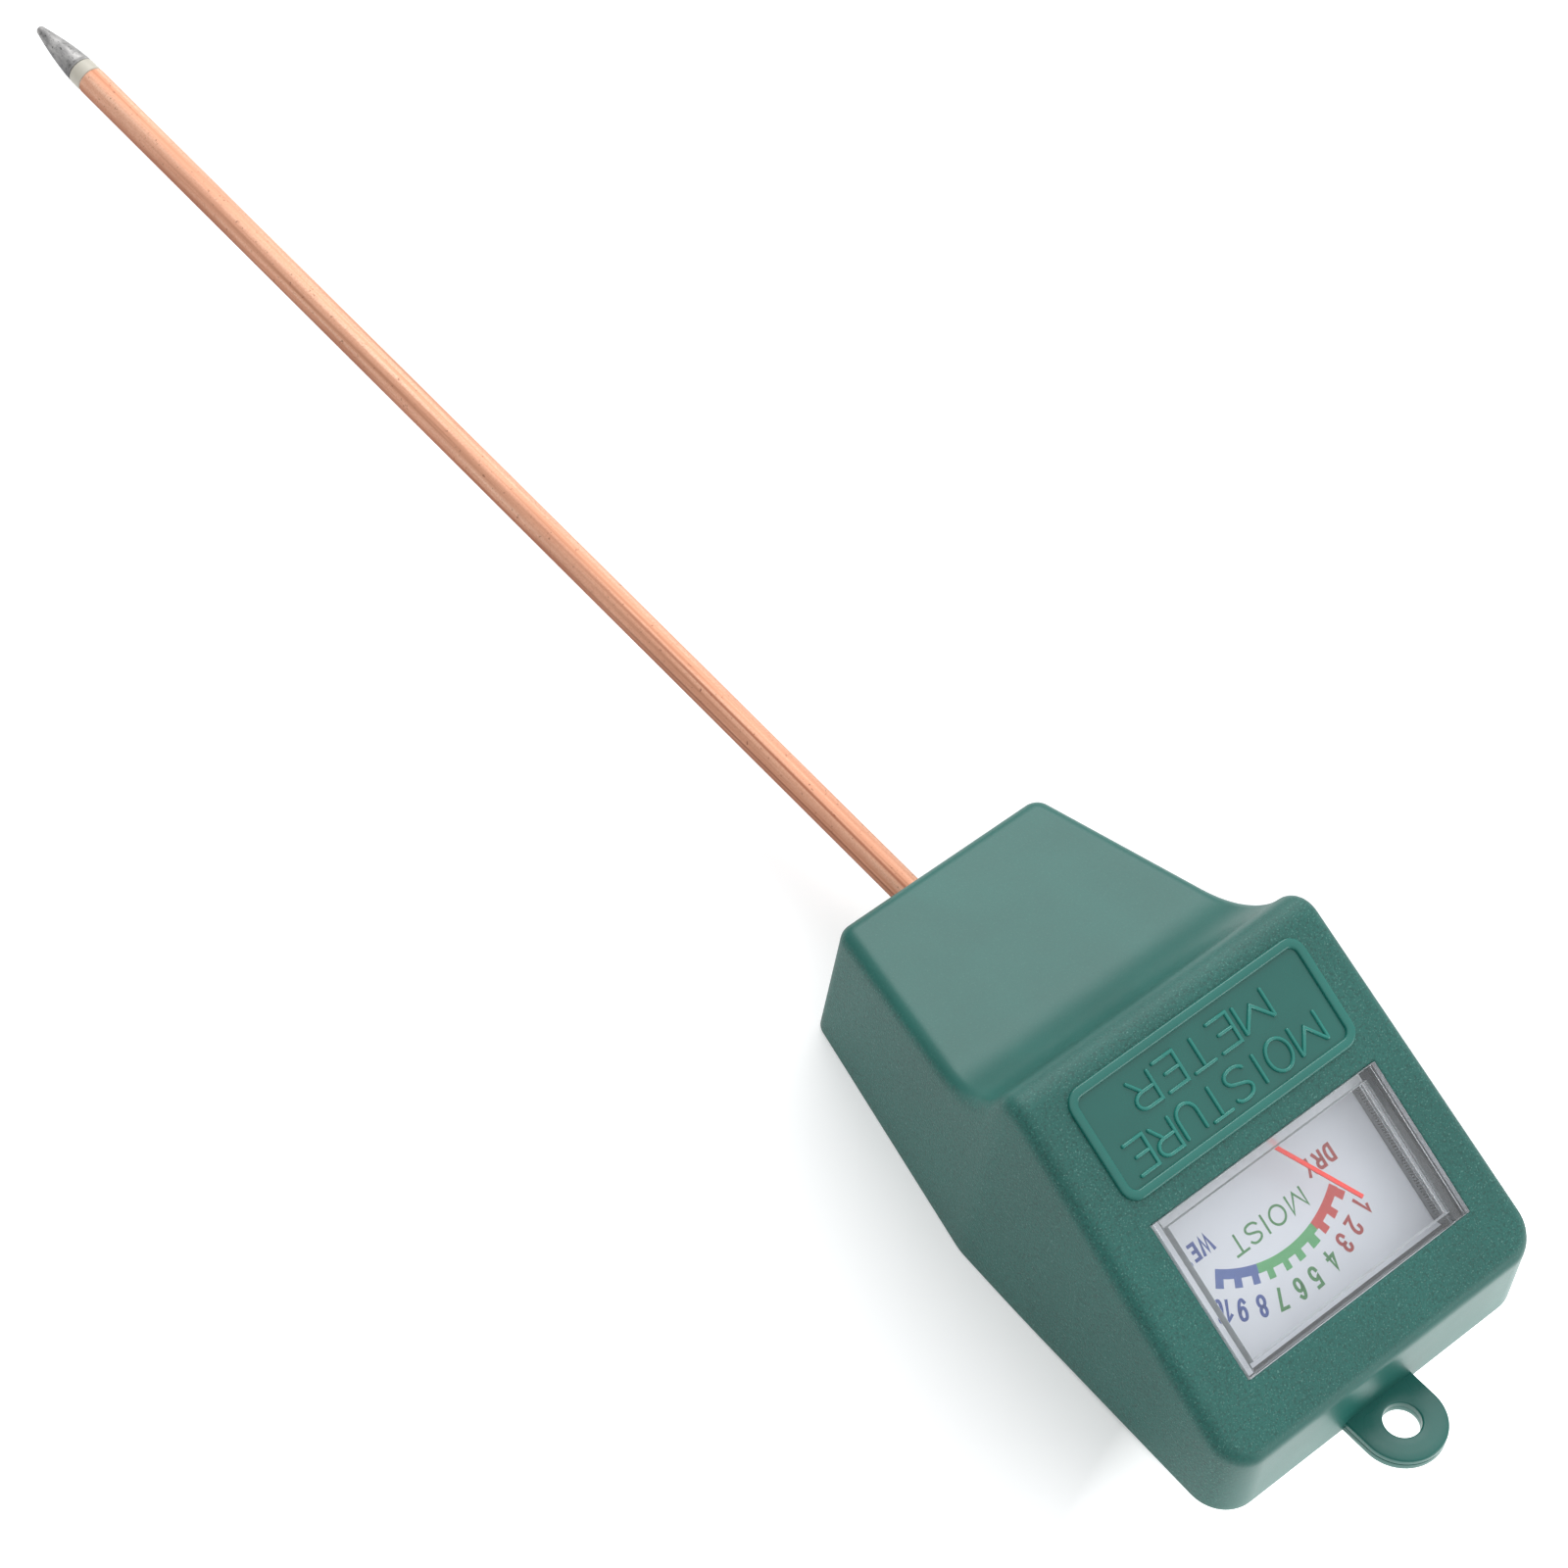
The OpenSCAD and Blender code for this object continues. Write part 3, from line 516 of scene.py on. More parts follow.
CAD_FINISH = {
    "green": ("front_housing", "rear_cover"), "clear": ("meter_lens",), "grey": ("meter_base",),
    "dial": ("dial_plate",), "needle": ("pointer",), "copper": ("probe_tube",),
    "ring": ("tip_insulator",), "zinc": ("probe_tip", "core_rod"), "sleeve": ("probe_sleeve",),
    "bush": ("probe_bush",), "fibre": ("insulating_washer",),
    "red_wire": ("red_lead",), "black_wire": ("black_lead",),
    "brass": ("tube_terminal", "rod_terminal", "terminal_pins", "core_pin", "top_bridge",
              "balance_weights"),
    "steel": ("cover_screws", "rod_nut", "meter_screws", "movement_screws", "bridge_screws",
              "coil_pivots"),
    "alloy": ("movement_frame",), "iron": ("yoke_ring",), "magnet": ("core_magnet",),
    "jewel": ("top_jewel", "bottom_jewel"), "aluminium": ("zero_arm", "coil_frame", "pointer_hub"),
    "spring": ("upper_hairspring", "lower_hairspring"), "winding": ("coil_winding",),
}
for finish, node_names in CAD_FINISH.items():
    for node_name in node_names:
        looks = frame["nodes"][node_name].data.materials
        looks.clear()
        looks.append(MAT[finish])


# ---- housing shell
PLAN = [(0, 0), (NECK_W, 0), (LIP_W, LIP_Y), (TOP_W, END_Y), (0, END_Y)]  # right half, from the neck end
PLAN_ROUNDS = [(3.0, 10), (14.0, 12), (6.0, 14)]  # radius and steps of the three corners between
FRONT = [np.array(p, float) for p in ((0, NECK_Z), (SHELF_Y, SHELF_Z), (LIP_Y, LIP_Z), (END_Y, END_Z))]
HOLLOW_STEPS, LIP_STEPS = 16, 14
NECK_ROWS, BELOW_ROWS, WINDOW_ROWS, END_ROWS = 9, 14, 12, 2
COLUMNS = (14, 44, 14)  # left of the window, across it, right of it
ALIGN_Y, ALIGN_RUN = 18.0, 24.0  # where the columns swing into line with the window
LEAN_Y, LEAN_RUN = END_Y - 10, 9.0  # where the lean of the end face sets in
FACE_W = 31.5  # half width of the dial face at the window


def plan_arcs():
    """The plan's three rounded corners, EDGE_R inside the walls: lists of points (x, y) and normals."""
    corners = [np.array(p, float) for p in PLAN]
    arcs = []
    for i, (radius, steps) in enumerate(PLAN_ROUNDS):
        centre, ways = corner_arc(*corners[i:i + 3], radius, steps)
        arcs.append([(centre + way * (radius - EDGE_R), way) for way in ways])
    return arcs


def front_arc(i, radius, steps):
    """Points and outward normals of the arc that rounds a corner of the dial side's line."""
    centre, ways = corner_arc(*FRONT[i - 1:i + 2], radius, steps)
    return [(centre + way * radius, way if way[1] > 0 else -way) for way in ways]


def inset_z(corner, normal):
    """Height over y of the straight line through a corner of the dial side, moved in by EDGE_R."""
    base = corner - normal * EDGE_R
    return lambda y: base[1] - (y - base[0]) * normal[0] / normal[1]


def shell_rows():
    """Rows of the shell from the neck end up: inset plan point, its normal, inset height, front normal."""
    neck_arc, side_arc, end_arc = plan_arcs()
    line = [neck_arc[-1], *side_arc, end_arc[0]]
    xs, ys = np.array([p for p, _ in line]).T
    kx, ky = np.array([k for _, k in line]).T

    def at(y, z, normal):
        k = unit((np.interp(y, ys, kx), np.interp(y, ys, ky)))
        return np.array((np.interp(y, ys, xs), y)), k, z, normal

    neck, shelf, lip, _ = FRONT
    slope = unit(shelf - neck)
    neck_n, face_n = np.array((-slope[1], slope[0])), np.array((SIN_F, COS_F))
    hollow, round_lip = front_arc(1, SHELF_R, HOLLOW_STEPS), front_arc(2, LIP_R, LIP_STEPS)
    neck_z, face_z = inset_z(neck, neck_n), inset_z(lip, face_n)

    rows = [(p, k, neck_z(p[1]), neck_n) for p, k in neck_arc]
    for y in np.linspace(neck_arc[-1][0][1] + 1.5, hollow[0][0][0] - 1.2, NECK_ROWS):
        y_in = y - neck_n[0] * EDGE_R
        rows.append(at(y_in, neck_z(y_in), neck_n))
    for point, normal in hollow + round_lip:
        rows.append(at(*(point - normal * EDGE_R), normal))
    v_first = (round_lip[-1][0][0] - LIP_Y) / COS_F
    for v in (*np.linspace(v_first, V0 - GAP, BELOW_ROWS + 2)[1:-1], V0 - MARGIN,
              *np.linspace(V0 + 2, V1 - 2, WINDOW_ROWS), V1 + MARGIN):
        y_in = LIP_Y + COS_F * v - face_n[0] * EDGE_R
        rows.append(at(y_in, face_z(y_in), face_n))
    for y in np.linspace(rows[-1][0][1], end_arc[0][0][1], END_ROWS + 2)[1:-1]:
        rows.append(at(y, face_z(y), face_n))
    return rows + [(p, k, face_z(p[1]), face_n) for p, k in end_arc]


def column_x(half, face_share):
    """The row's column positions: even on the neck, lined up with the window on the dial face."""
    a, b = ((1 - face_share) * (u / FACE_W * half) + face_share * u for u in (U0 - MARGIN, U1 + MARGIN))
    marks = (-half, a, b, half)
    spans = [lo + (hi - lo) * np.linspace(0, 1, n + 1)[1:] for lo, hi, n in zip(marks, marks[1:], COLUMNS)]
    return np.concatenate(([-half], *spans))


def back_z(y):
    """Height of the back, with its bend rounded."""
    reach, slope = y - BEND_Y, BACK_RISE / BACK_RUN
    if abs(reach) >= BEND_SOFT:
        return max(0.0, reach) * slope
    return (reach + BEND_SOFT) ** 2 / (4 * BEND_SOFT) * slope


def lean(x, y, z, amount):
    """A point of the housing, moved with the end face, which leans out a little towards the back."""
    y += amount * END_LEAN * ease(y, LEAN_Y, LEAN_RUN) * max(0.0, 1 - (z - BACK_RISE) / (END_Z - BACK_RISE))
    return place(x, y, z)


def shell_skin(b, rows, depth):
    """One skin of the housing at a depth under its surface: its grid on the dial side, and its back rim."""
    outer = depth == 0
    edge_r, foot_r = EDGE_R - depth, FOOT_R if outer else 0.0
    columns = [column_x(p[0], ease(p[1], ALIGN_Y, ALIGN_RUN)) for p, _, _, _ in rows]
    grid = [b.add([lean(x, p[1] + n[0] * edge_r, z + n[1] * edge_r, outer) for x in xs])
            for xs, (p, _, z, n) in zip(columns, rows)]
    last, cols = len(rows) - 1, len(grid[0]) - 1
    way_round = ([(0, j, (0, -1)) for j in range(cols)]
                 + [(i, cols, rows[i][1]) for i in range(last)]
                 + [(last, j, (0, 1)) for j in range(cols, 0, -1)]
                 + [(i, 0, rows[i][1] * (-1, 1)) for i in range(last, 0, -1)])
    rim = [grid[i][j] for i, j, _ in way_round]
    info = [(np.array((columns[i][j], rows[i][0][1])), np.array(k, float), *rows[i][2:])
            for i, j, k in way_round]

    def edge(t, xy, k, z, n):
        a, c = np.array((0.0, *n)), np.array((*k, 0.0))
        angle = math.acos(np.clip(a @ c, -1, 1))
        m = (math.sin((1 - t) * angle) * a + math.sin(t * angle) * c) / math.sin(angle)
        return np.array((*xy, z)) + m * edge_r

    def wall(t, xy, k, z, n):
        x, y = xy + k * edge_r
        return x, y, z + (back_z(y) + foot_r - z) * t

    def foot(t, xy, k, z, n):
        turn = t * math.pi / 2
        x, y = xy + k * (edge_r - FOOT_R + FOOT_R * math.cos(turn))
        return x, y, back_z(y) + FOOT_R * (1 - math.sin(turn))

    for shape, steps in ((edge, 7), (wall, 14), (foot, 4)) if outer else ((edge, 2), (wall, 3)):
        for step in range(1, steps + 1):
            ring = b.add([lean(*shape(step / steps, *spot), outer) for spot in info])
            b.join(rim, ring)
            rim = ring
    return grid, rim


def housing_shell():
    """The green front shell: an outer and an inner skin, joined at the back rim and round the window."""
    rows = shell_rows()
    b = Builder()
    outer, outer_rim = shell_skin(b, rows, 0.0)
    inner, inner_rim = shell_skin(b, rows, WALL)
    b.join(outer_rim, inner_rim)
    face_rows = [i for i, (p, _, _, n) in enumerate(rows) if abs(n[1] - COS_F) < 1e-9 and p[1] > LIP_Y + 2]
    v_of = lambda i: (rows[i][0][1] + rows[i][3][0] * EDGE_R - LIP_Y) / COS_F
    i0, i1 = (min(face_rows, key=lambda i: abs(v_of(i) - v)) for v in (V0 - MARGIN, V1 + MARGIN))
    j0, j1 = COLUMNS[0], COLUMNS[0] + COLUMNS[1]
    for grid in (outer, inner):
        for i in range(len(grid) - 1):
            for j in range(len(grid[0]) - 1):
                if not (i0 <= i < i1 and j0 <= j < j1):
                    b.faces.append((grid[i][j], grid[i][j + 1], grid[i + 1][j + 1], grid[i + 1][j]))

    def opening(grid):
        return ([grid[i0][j] for j in range(j0, j1)] + [grid[i][j1] for i in range(i0, i1)]
                + [grid[i1][j] for j in range(j1, j0, -1)] + [grid[i][j0] for i in range(i1, i0, -1)])

    top = opening(outer)
    u_mid, v_mid = (U0 + U1) / 2, (V0 + V1) / 2
    half_u, half_v = (U1 - U0) / 2 + MARGIN, (V1 - V0) / 2 + MARGIN

    def opening_ring(shrink, w):
        """The opening's edge, drawn in by shrink and lifted to w."""
        ring = []
        for index in top:
            u, y, z = (c / MM for c in b.points[index])
            v = (y - NECK_Y - LIP_Y) * COS_F - (z - LIP_Z) * SIN_F
            ring.append(on_face(u_mid + (u - u_mid) * (half_u - shrink) / half_u,
                                v_mid + (v - v_mid) * (half_v - shrink) / half_v, w))
        return b.add(ring)

    previous = top
    for shrink, w in ((CHAMFER * 0.3, -0.04), (CHAMFER * 0.75, -0.16), (CHAMFER, -0.36), (CHAMFER, -1.4)):
        ring = opening_ring(shrink, w)
        b.join(previous, ring)
        previous = ring
    b.join(previous, opening(inner))
    shell = new_piece("housing_shell", b, MAT["green"], ("front_housing",), smooth=28)
    spark_amount(shell)


def spark_amount(shell):
    """Grain on the dial bezel and the sides, and little of it on the neck, the step and the end face."""
    values = []
    for vert, normal in zip(shell.data.vertices, shell.data.vertex_normals):
        y, n = vert.co.y / MM - NECK_Y, normal.vector
        on_neck = clamp((LIP_Y + 2 - y) / 3) * clamp((n.z - 0.35) / 0.35)
        on_end = clamp((n.y - 0.45) / 0.4) * (y > END_Y - 12)
        values.append(1.0 - 0.85 * max(on_neck, on_end))
    mark(shell, "spark", "POINT", values)


def mark(piece, name, domain, values):
    """Gives a piece a named amount, for its material to read."""
    layer = piece.data.attributes.new(name, "FLOAT", domain)
    layer.data.foreach_set("value", values)


housing_shell()


# ---- hang tab
TAB_TOP, TAB_LOW = 2.2, 1.05  # the front layer's surfaces over the back
TAB_SOFT, HOLE_SOFT, TAB_FOOT = 0.4, 0.3, 0.15
TAB_STEPS = 96


def tab_outline(angle, grow):
    """Distance from the hang hole's middle to the tab's outline at an angle; grow moves it outwards."""
    c, s = math.cos(angle), math.sin(angle)
    r = TAB_R + grow
    return r if s >= 0 else min(r / max(abs(c), 1e-6), TAB_ROOT / -s)


def tab_plate():
    """Front layer of the hang tab: a rounded plate with a round hole that has a soft rim."""
    mid = (TAB_Y - BEND_Y) / math.cos(BACK_ANGLE)
    angles = np.linspace(0, 2 * math.pi, TAB_STEPS, endpoint=False)

    def ring(reach, z):
        return [on_back(math.cos(t) * reach(t), mid + math.sin(t) * reach(t), z) for t in angles]

    def quarter(steps, first):
        return [k / steps * math.pi / 2 for k in range(first, steps + 1)]

    rings = [ring(lambda t: HANG_R, TAB_LOW), ring(lambda t: HANG_R, TAB_TOP - HOLE_SOFT)]
    for a in quarter(4, 1):
        rings.append(ring(lambda t: HANG_R + HOLE_SOFT * (1 - math.cos(a)),
                          TAB_TOP - HOLE_SOFT + HOLE_SOFT * math.sin(a)))
    for q in (0.35, 0.7):
        rings.append(ring(lambda t: (HANG_R + HOLE_SOFT) * (1 - q) + tab_outline(t, -TAB_SOFT) * q, TAB_TOP))
    for a in quarter(5, 0):
        rings.append(ring(lambda t: tab_outline(t, -TAB_SOFT + TAB_SOFT * math.sin(a)),
                          TAB_TOP - TAB_SOFT + TAB_SOFT * math.cos(a)))
    rings.append(ring(lambda t: tab_outline(t, 0), TAB_LOW + TAB_FOOT))
    rings.append(ring(lambda t: tab_outline(t, -TAB_FOOT), TAB_LOW))
    new_piece("hang_tab", loft(rings, endless=True), MAT["green_gloss"],
              ("front_housing",))


tab_plate()


# ---- name panel
PANEL_U, PANEL_V, PANEL_W, PANEL_H = -0.5, 14.5, 48.4, 19.0  # the frame's middle and size
BEAD_W, BEAD_H, BEAD_R = 1.6, 0.6, 2.2


def stroke_sides(path, closed, least):
    """Each point of a stroke, with the unit vector to its right and how much wider it is at a bend."""
    path = [np.array(p, float) for p in path]
    for i, p in enumerate(path):
        before = path[i - 1] if i or closed else None
        after = path[(i + 1) % len(path)] if i < len(path) - 1 or closed else None
        d0 = unit(p - before) if before is not None else unit(after - p)
        d1 = unit(after - p) if after is not None else d0
        t = unit(d0 + d1) if np.linalg.norm(d0 + d1) > 1e-6 else d0
        side = np.array((t[1], -t[0]))
        yield p, side, 1 / max(least, float(side @ np.array((d0[1], -d0[0]))))


def bead(path, base_w, width, height, closed, sink, steps, fullness):
    """A raised bead with a rounded section along a path of (u, v) points, tapered at its ends if open."""
    gaps = [np.linalg.norm(np.subtract(c, a)) for a, c in zip(path, path[1:])]
    length = np.concatenate(([0.0], np.cumsum(gaps)))
    rings = []
    for i, (p, side, stretch) in enumerate(stroke_sides(path, closed, 0.35)):
        scale = 1.0
        if not closed:
            q = min(1.0, min(length[i], length[-1] - length[i]) / (width / 2))
            scale = math.sqrt(max(0.0, 1 - (1 - q) ** 2)) * 0.98 + 0.02
        reach = side * width / 2 * stretch * scale
        ring = []
        for k in range(steps + 1):
            a = math.pi * k / steps
            w = base_w + math.sin(a) ** fullness * height * (0.4 + 0.6 * scale)
            ring.append(on_face(*(p + reach * math.cos(a)), w))
        ring += [on_face(*(p - reach), base_w - sink), on_face(*(p + reach), base_w - sink)]
        rings.append(ring)
    return loft(rings, closed)


END_SHARES = (0.0, 0.08, 0.25, 0.5, 1.0)


def ends_refined(path, width):
    """Adds points near both ends of a stroke, so that its ends come out round."""
    path = [np.array(p, float) for p in path]

    def lead(a, c):
        reach = min(width, np.linalg.norm(c - a) * 0.9)
        return [a + unit(c - a) * reach * share for share in END_SHARES]

    return lead(path[0], path[1]) + path[1:-1] + lead(path[-1], path[-2])[::-1]


def is_closed(path):
    return math.dist(path[0], path[-1]) < 1e-6


def panel_outline():
    """The middle line of the panel's frame, with round corners."""
    half_u, half_v = (PANEL_W - BEAD_W) / 2 - BEAD_R, (PANEL_H - BEAD_W) / 2 - BEAD_R
    corners = ((1, -1, -90), (1, 1, 0), (-1, 1, 90), (-1, -1, 180))
    return [p for su, sv, start in corners
            for p in arc(PANEL_U + su * half_u, PANEL_V + sv * half_v, BEAD_R, BEAD_R, start, start + 90, 8)]


def arc(cx, cy, rx, ry, a0, a1, n=12):
    return [(cx + rx * math.cos(math.radians(a0 + (a1 - a0) * k / n)),
             cy + ry * math.sin(math.radians(a0 + (a1 - a0) * k / n))) for k in range(n + 1)]


def smooth_line(points, per=6):
    """A smooth curve through the points."""
    p = [np.array(q) for q in (points[0], *points, points[-1])]
    out = []
    for i in range(1, len(p) - 2):
        for k in range(per):
            t = k / per
            out.append(tuple(0.5 * ((2 * p[i]) + (p[i + 1] - p[i - 1]) * t
                                    + (2 * p[i - 1] - 5 * p[i] + 4 * p[i + 1] - p[i + 2]) * t * t
                                    + (3 * p[i] - p[i - 1] - 3 * p[i + 1] + p[i + 2]) * t ** 3)))
    out.append(tuple(points[-1]))
    return out


# The raised words: foot and top of the letters, then each letter with its left and right edge
LETTER_W, LETTER_H = 0.62, 0.42
LETTERS_AT = (-0.11, 0.22)
PANEL_WORDS = [
    (15.83, 20.93, [("M", -19.73, -14.37), ("O", -13.2, -8.74), ("I", -7.33, -6.33), ("S", -4.67, -0.5),
                    ("T", 0.33, 4.6), ("U", 5.77, 9.57), ("R", 10.77, 14.73), ("E", 15.83, 19.7)]),
    (8.5, 13.47, [("M", -14.07, -8.23), ("E", -6.9, -2.8), ("T", -1.77, 2.9), ("E", 4.17, 8.3),
                  ("R", 9.5, 13.8)]),
]
# Plain letters and figures as strokes in a box one unit wide and one high
GLYPH = {
    "M": [[(0, 0), (0, 1)], [(0, 0.99), (0.5, 0.29), (1, 0.99)], [(1, 1), (1, 0)]],
    "m": [[(0, 0), (0, 1), (0.5, 0.05), (1, 1), (1, 0)]],
    "O": [arc(0.5, 0.5, 0.5, 0.5, 90, 450, 28)],
    "I": [[(0.5, 0), (0.5, 1)]],
    "S": [smooth_line([
        (0.96, 0.84), (0.8, 0.96), (0.52, 1.0), (0.2, 0.93), (0.06, 0.76), (0.17, 0.6), (0.5, 0.5),
        (0.84, 0.4), (0.97, 0.23), (0.84, 0.06), (0.5, 0.0), (0.2, 0.05), (0.02, 0.18)])],
    "T": [[(0, 1), (1, 1)], [(0.5, 0.98), (0.5, 0)]],
    "U": [[(0, 1), (0, 0.37), *arc(0.5, 0.37, 0.5, 0.37, 180, 360)[1:], (1, 1)]],
    "R": [[(0, 0), (0, 1), (0.6, 1), *arc(0.6, 0.75, 0.38, 0.25, 90, -90)[1:], (0.02, 0.5)],
          [(0.56, 0.5), (1, 0)]],
    "E": [[(1, 1), (0, 1), (0, 0), (1.02, 0)], [(0.02, 0.48), (0.78, 0.48)]],
    "D": [[(0, 0), (0, 1), (0.45, 1), *arc(0.5, 0.5, 0.5, 0.5, 90, -90)[1:], (0.02, 0)]],
    "Y": [[(0, 1), (0.5, 0.45), (1, 1)], [(0.5, 0.47), (0.5, 0)]],
    "W": [[(0, 1), (0.25, 0), (0.5, 0.95), (0.75, 0), (1, 1)]],
    "1": [[(0.0, 0.74), (0.62, 1), (0.62, 0)]],
    "2": [[*smooth_line([
        (0.06, 0.72), (0.16, 0.93), (0.5, 1.0), (0.84, 0.92), (0.92, 0.7), (0.78, 0.47), (0.4, 0.22),
        (0.06, 0.02)]), (0.97, 0.0)]],
    "3": [smooth_line([
        (0.06, 0.8), (0.22, 0.96), (0.5, 1.0), (0.8, 0.93), (0.9, 0.75), (0.78, 0.58), (0.45, 0.53)]),
        smooth_line([(0.45, 0.53), (0.82, 0.48), (0.95, 0.27), (0.82, 0.07), (0.48, 0.0), (0.16, 0.06),
                     (0.03, 0.24)])],
    "4": [[(0.72, 0), (0.72, 1), (0.0, 0.3), (1.0, 0.3)]],
    "5": [[(0.9, 1), (0.18, 1), *smooth_line([
        (0.1, 0.52), (0.45, 0.63), (0.8, 0.55), (0.96, 0.32), (0.82, 0.07), (0.48, 0.0), (0.15, 0.06),
        (0.02, 0.22)])]],
    "6": [smooth_line([
        (0.88, 0.86), (0.6, 1.0), (0.28, 0.92), (0.08, 0.62), (0.05, 0.3), (0.2, 0.06), (0.52, 0.0),
        (0.84, 0.08), (0.94, 0.3), (0.8, 0.53), (0.5, 0.6), (0.2, 0.5), (0.07, 0.34)])],
    "7": [[(0.03, 1), (0.97, 1), (0.35, 0)]],
    "8": [arc(0.5, 0.77, 0.38, 0.23, -90, 270, 20), arc(0.5, 0.27, 0.46, 0.27, 90, 450, 22)],
    "0": [arc(0.5, 0.5, 0.46, 0.5, 90, 450, 24)],
}
GLYPH["9"] = [[(1 - x, 1 - y) for x, y in GLYPH["6"][0]]]


def merge(builders):
    whole = Builder()
    for part in builders:
        shift = len(whole.points)
        whole.points.extend(part.points)
        whole.faces.extend(tuple(i + shift for i in f) for f in part.faces)
    return whole


def name_panel():
    """The name panel: its frame, its smooth field and its raised words."""
    outline = panel_outline()
    new_piece("panel_bead", bead(outline, -0.02, BEAD_W, BEAD_H, True, 0.08, 14, 0.4), MAT["green_bead_lit"],
              ("front_housing",), smooth=60)
    field = loft([[on_face(u, v, w) for u, v in outline] for w in (0.03, -0.06)])
    new_piece("panel_field", field, MAT["green_gloss"], ("front_housing",))
    strokes = []
    for base, top, letters in PANEL_WORDS:
        for letter, left, right in letters:
            for path in GLYPH[letter]:
                pts = [(LETTERS_AT[0] + left + x * (right - left), LETTERS_AT[1] + base + y * (top - base))
                       for x, y in path]
                closed = is_closed(pts)
                pts = pts[:-1] if closed else ends_refined(pts, LETTER_W)
                strokes.append(bead(pts, 0.0, LETTER_W, LETTER_H, closed, 0.05, 8, 0.6))
    new_piece("panel_letters", merge(strokes), MAT["green_letters_lit"], ("front_housing",),
              smooth=60)


name_panel()


# ---- dial print
PRINT_LOW, PRINT_HIGH = DIAL_W - 0.005, DIAL_W + 0.03
ARC_U, ARC_V = 0.95, 22.75  # middle of the printed scale


def print_strip(pairs, endless=False):
    """A thin closed strip of print between pairs of points of the dial."""
    return loft([[on_face(*left, PRINT_HIGH), on_face(*right, PRINT_HIGH),
                  on_face(*right, PRINT_LOW), on_face(*left, PRINT_LOW)] for left, right in pairs], endless)


def polar(radius, angle):
    """A point on the dial about the scale's middle; angles are from straight up, positive to the left."""
    a = math.radians(angle)
    return ARC_U - radius * math.sin(a), ARC_V + radius * math.cos(a)


def sector(r0, r1, a0, a1):
    """A printed piece of a ring between two radii and two angles."""
    n = max(2, int(abs(a1 - a0) / 0.8))
    angles = [a0 + (a1 - a0) * k / n for k in range(n + 1)]
    return print_strip([(polar(r1, a), polar(r0, a)) for a in angles])


def glyph_ribbons(letter, centre, turn, high, wide, stroke):
    """Printed strokes of one letter about its middle, turned by an angle in degrees, anticlockwise."""
    c, s = math.cos(math.radians(turn)), math.sin(math.radians(turn))
    ribbons = []
    for path in GLYPH[letter]:
        pts = []
        for x, y in path:
            px, py = (x - 0.5) * (wide - stroke), (y - 0.5) * (high - stroke)
            pts.append((centre[0] + px * c - py * s, centre[1] + px * s + py * c))
        closed = is_closed(pts)
        if closed:
            pts = pts[:-1]
        else:
            for end, inner in ((0, 1), (-1, -2)):
                way = unit(np.subtract(pts[end], pts[inner]))
                pts[end] = tuple(np.add(pts[end], way * stroke / 2 * 0.98))
        sides = [(p, side * stroke / 2 * min(2.0, stretch))
                 for p, side, stretch in stroke_sides(pts, closed, 0.3)]
        ribbons.append(print_strip([(p - reach, p + reach) for p, reach in sides], closed))
    return ribbons


BAND_IN, BAND_ROOT, BAND_OUT = 20.8, 22.3, 23.72
TEETH = {
    "ink_red": (35.5, 16.1, [(35.3, 31.8), (27.3, 23.9), (20.2, 16.9)]),
    "ink_green": (16.1, -16.1, [(13.7, 9.4), (5.2, 1.8), (-2.0, -4.8), (-9.6, -12.6)]),
    "ink_blue": (-16.1, -35.5, [(-16.6, -19.6), (-24.2, -27.4), (-32.0, -35.4)]),
}
# For each ink, the figures with their angles
FIGURES = {
    "word_red": [("1", 33.5), ("2", 25.9), ("3", 19.2)],
    "word_green": [("4", 11.9), ("5", 3.3), ("6", -3.6), ("7", -11.4)],
    "word_blue": [("8", -18.7), ("9", -26.0), ("10", -32.9)],
}
FIGURE_R, FIGURE_H, FIGURE_W, ONE_W = 27.0, 3.5, 1.8, 1.45
FIGURE_STEP = 3.5  # degrees between the figures of a number
FIGURE_TURN = 0.87  # a figure turns by this share of its angle
HEAVY_H, HEAVY_STROKE = 2.95, 0.54
LIGHT_H, LIGHT_STROKE = 3.3, 0.38
# For each ink, its word: the height of its middle, then each letter with its middle and width
WORDS = {
    "word_red": (36.0, [("D", -13.93, 1.7), ("R", -11.85, 1.75), ("Y", -9.76, 1.8)]),
    "word_green": (38.85, [("m", -4.82, 3.35), ("O", -0.78, 3.2), ("I", 1.85, 0.4), ("S", 4.25, 2.75),
                           ("T", 7.45, 2.7)]),
    "word_blue": (35.9, [("W", 12.15, 2.5), ("E", 14.4, 1.45), ("T", 16.5, 1.6)]),
}


def dial_print():
    """The coloured scale with its teeth, the figures and the words, one piece for each ink."""
    inks = {name: [] for name in (*TEETH, *WORDS)}
    for name, (a0, a1, teeth) in TEETH.items():
        inks[name].append(sector(BAND_IN, BAND_ROOT, a0, a1))
        inks[name] += [sector(BAND_ROOT - 0.02, BAND_OUT, t0, t1) for t0, t1 in teeth]
    for name, figures in FIGURES.items():
        for text, angle in figures:
            for k, figure in enumerate(text):
                a = angle - (k - (len(text) - 1) / 2) * FIGURE_STEP
                inks[name] += glyph_ribbons(figure, polar(FIGURE_R, a), a * FIGURE_TURN, FIGURE_H,
                                            ONE_W if figure == "1" else FIGURE_W, HEAVY_STROKE)
    for name, (v, letters) in WORDS.items():
        high, stroke = (LIGHT_H, LIGHT_STROKE) if name == "word_green" else (HEAVY_H, HEAVY_STROKE)
        for letter, u, wide in letters:
            inks[name] += glyph_ribbons(letter, (u, v), 0, high, wide, stroke)
    for name, parts in inks.items():
        new_piece("print_" + name, merge(parts), MAT[name], smooth=30)


dial_print()


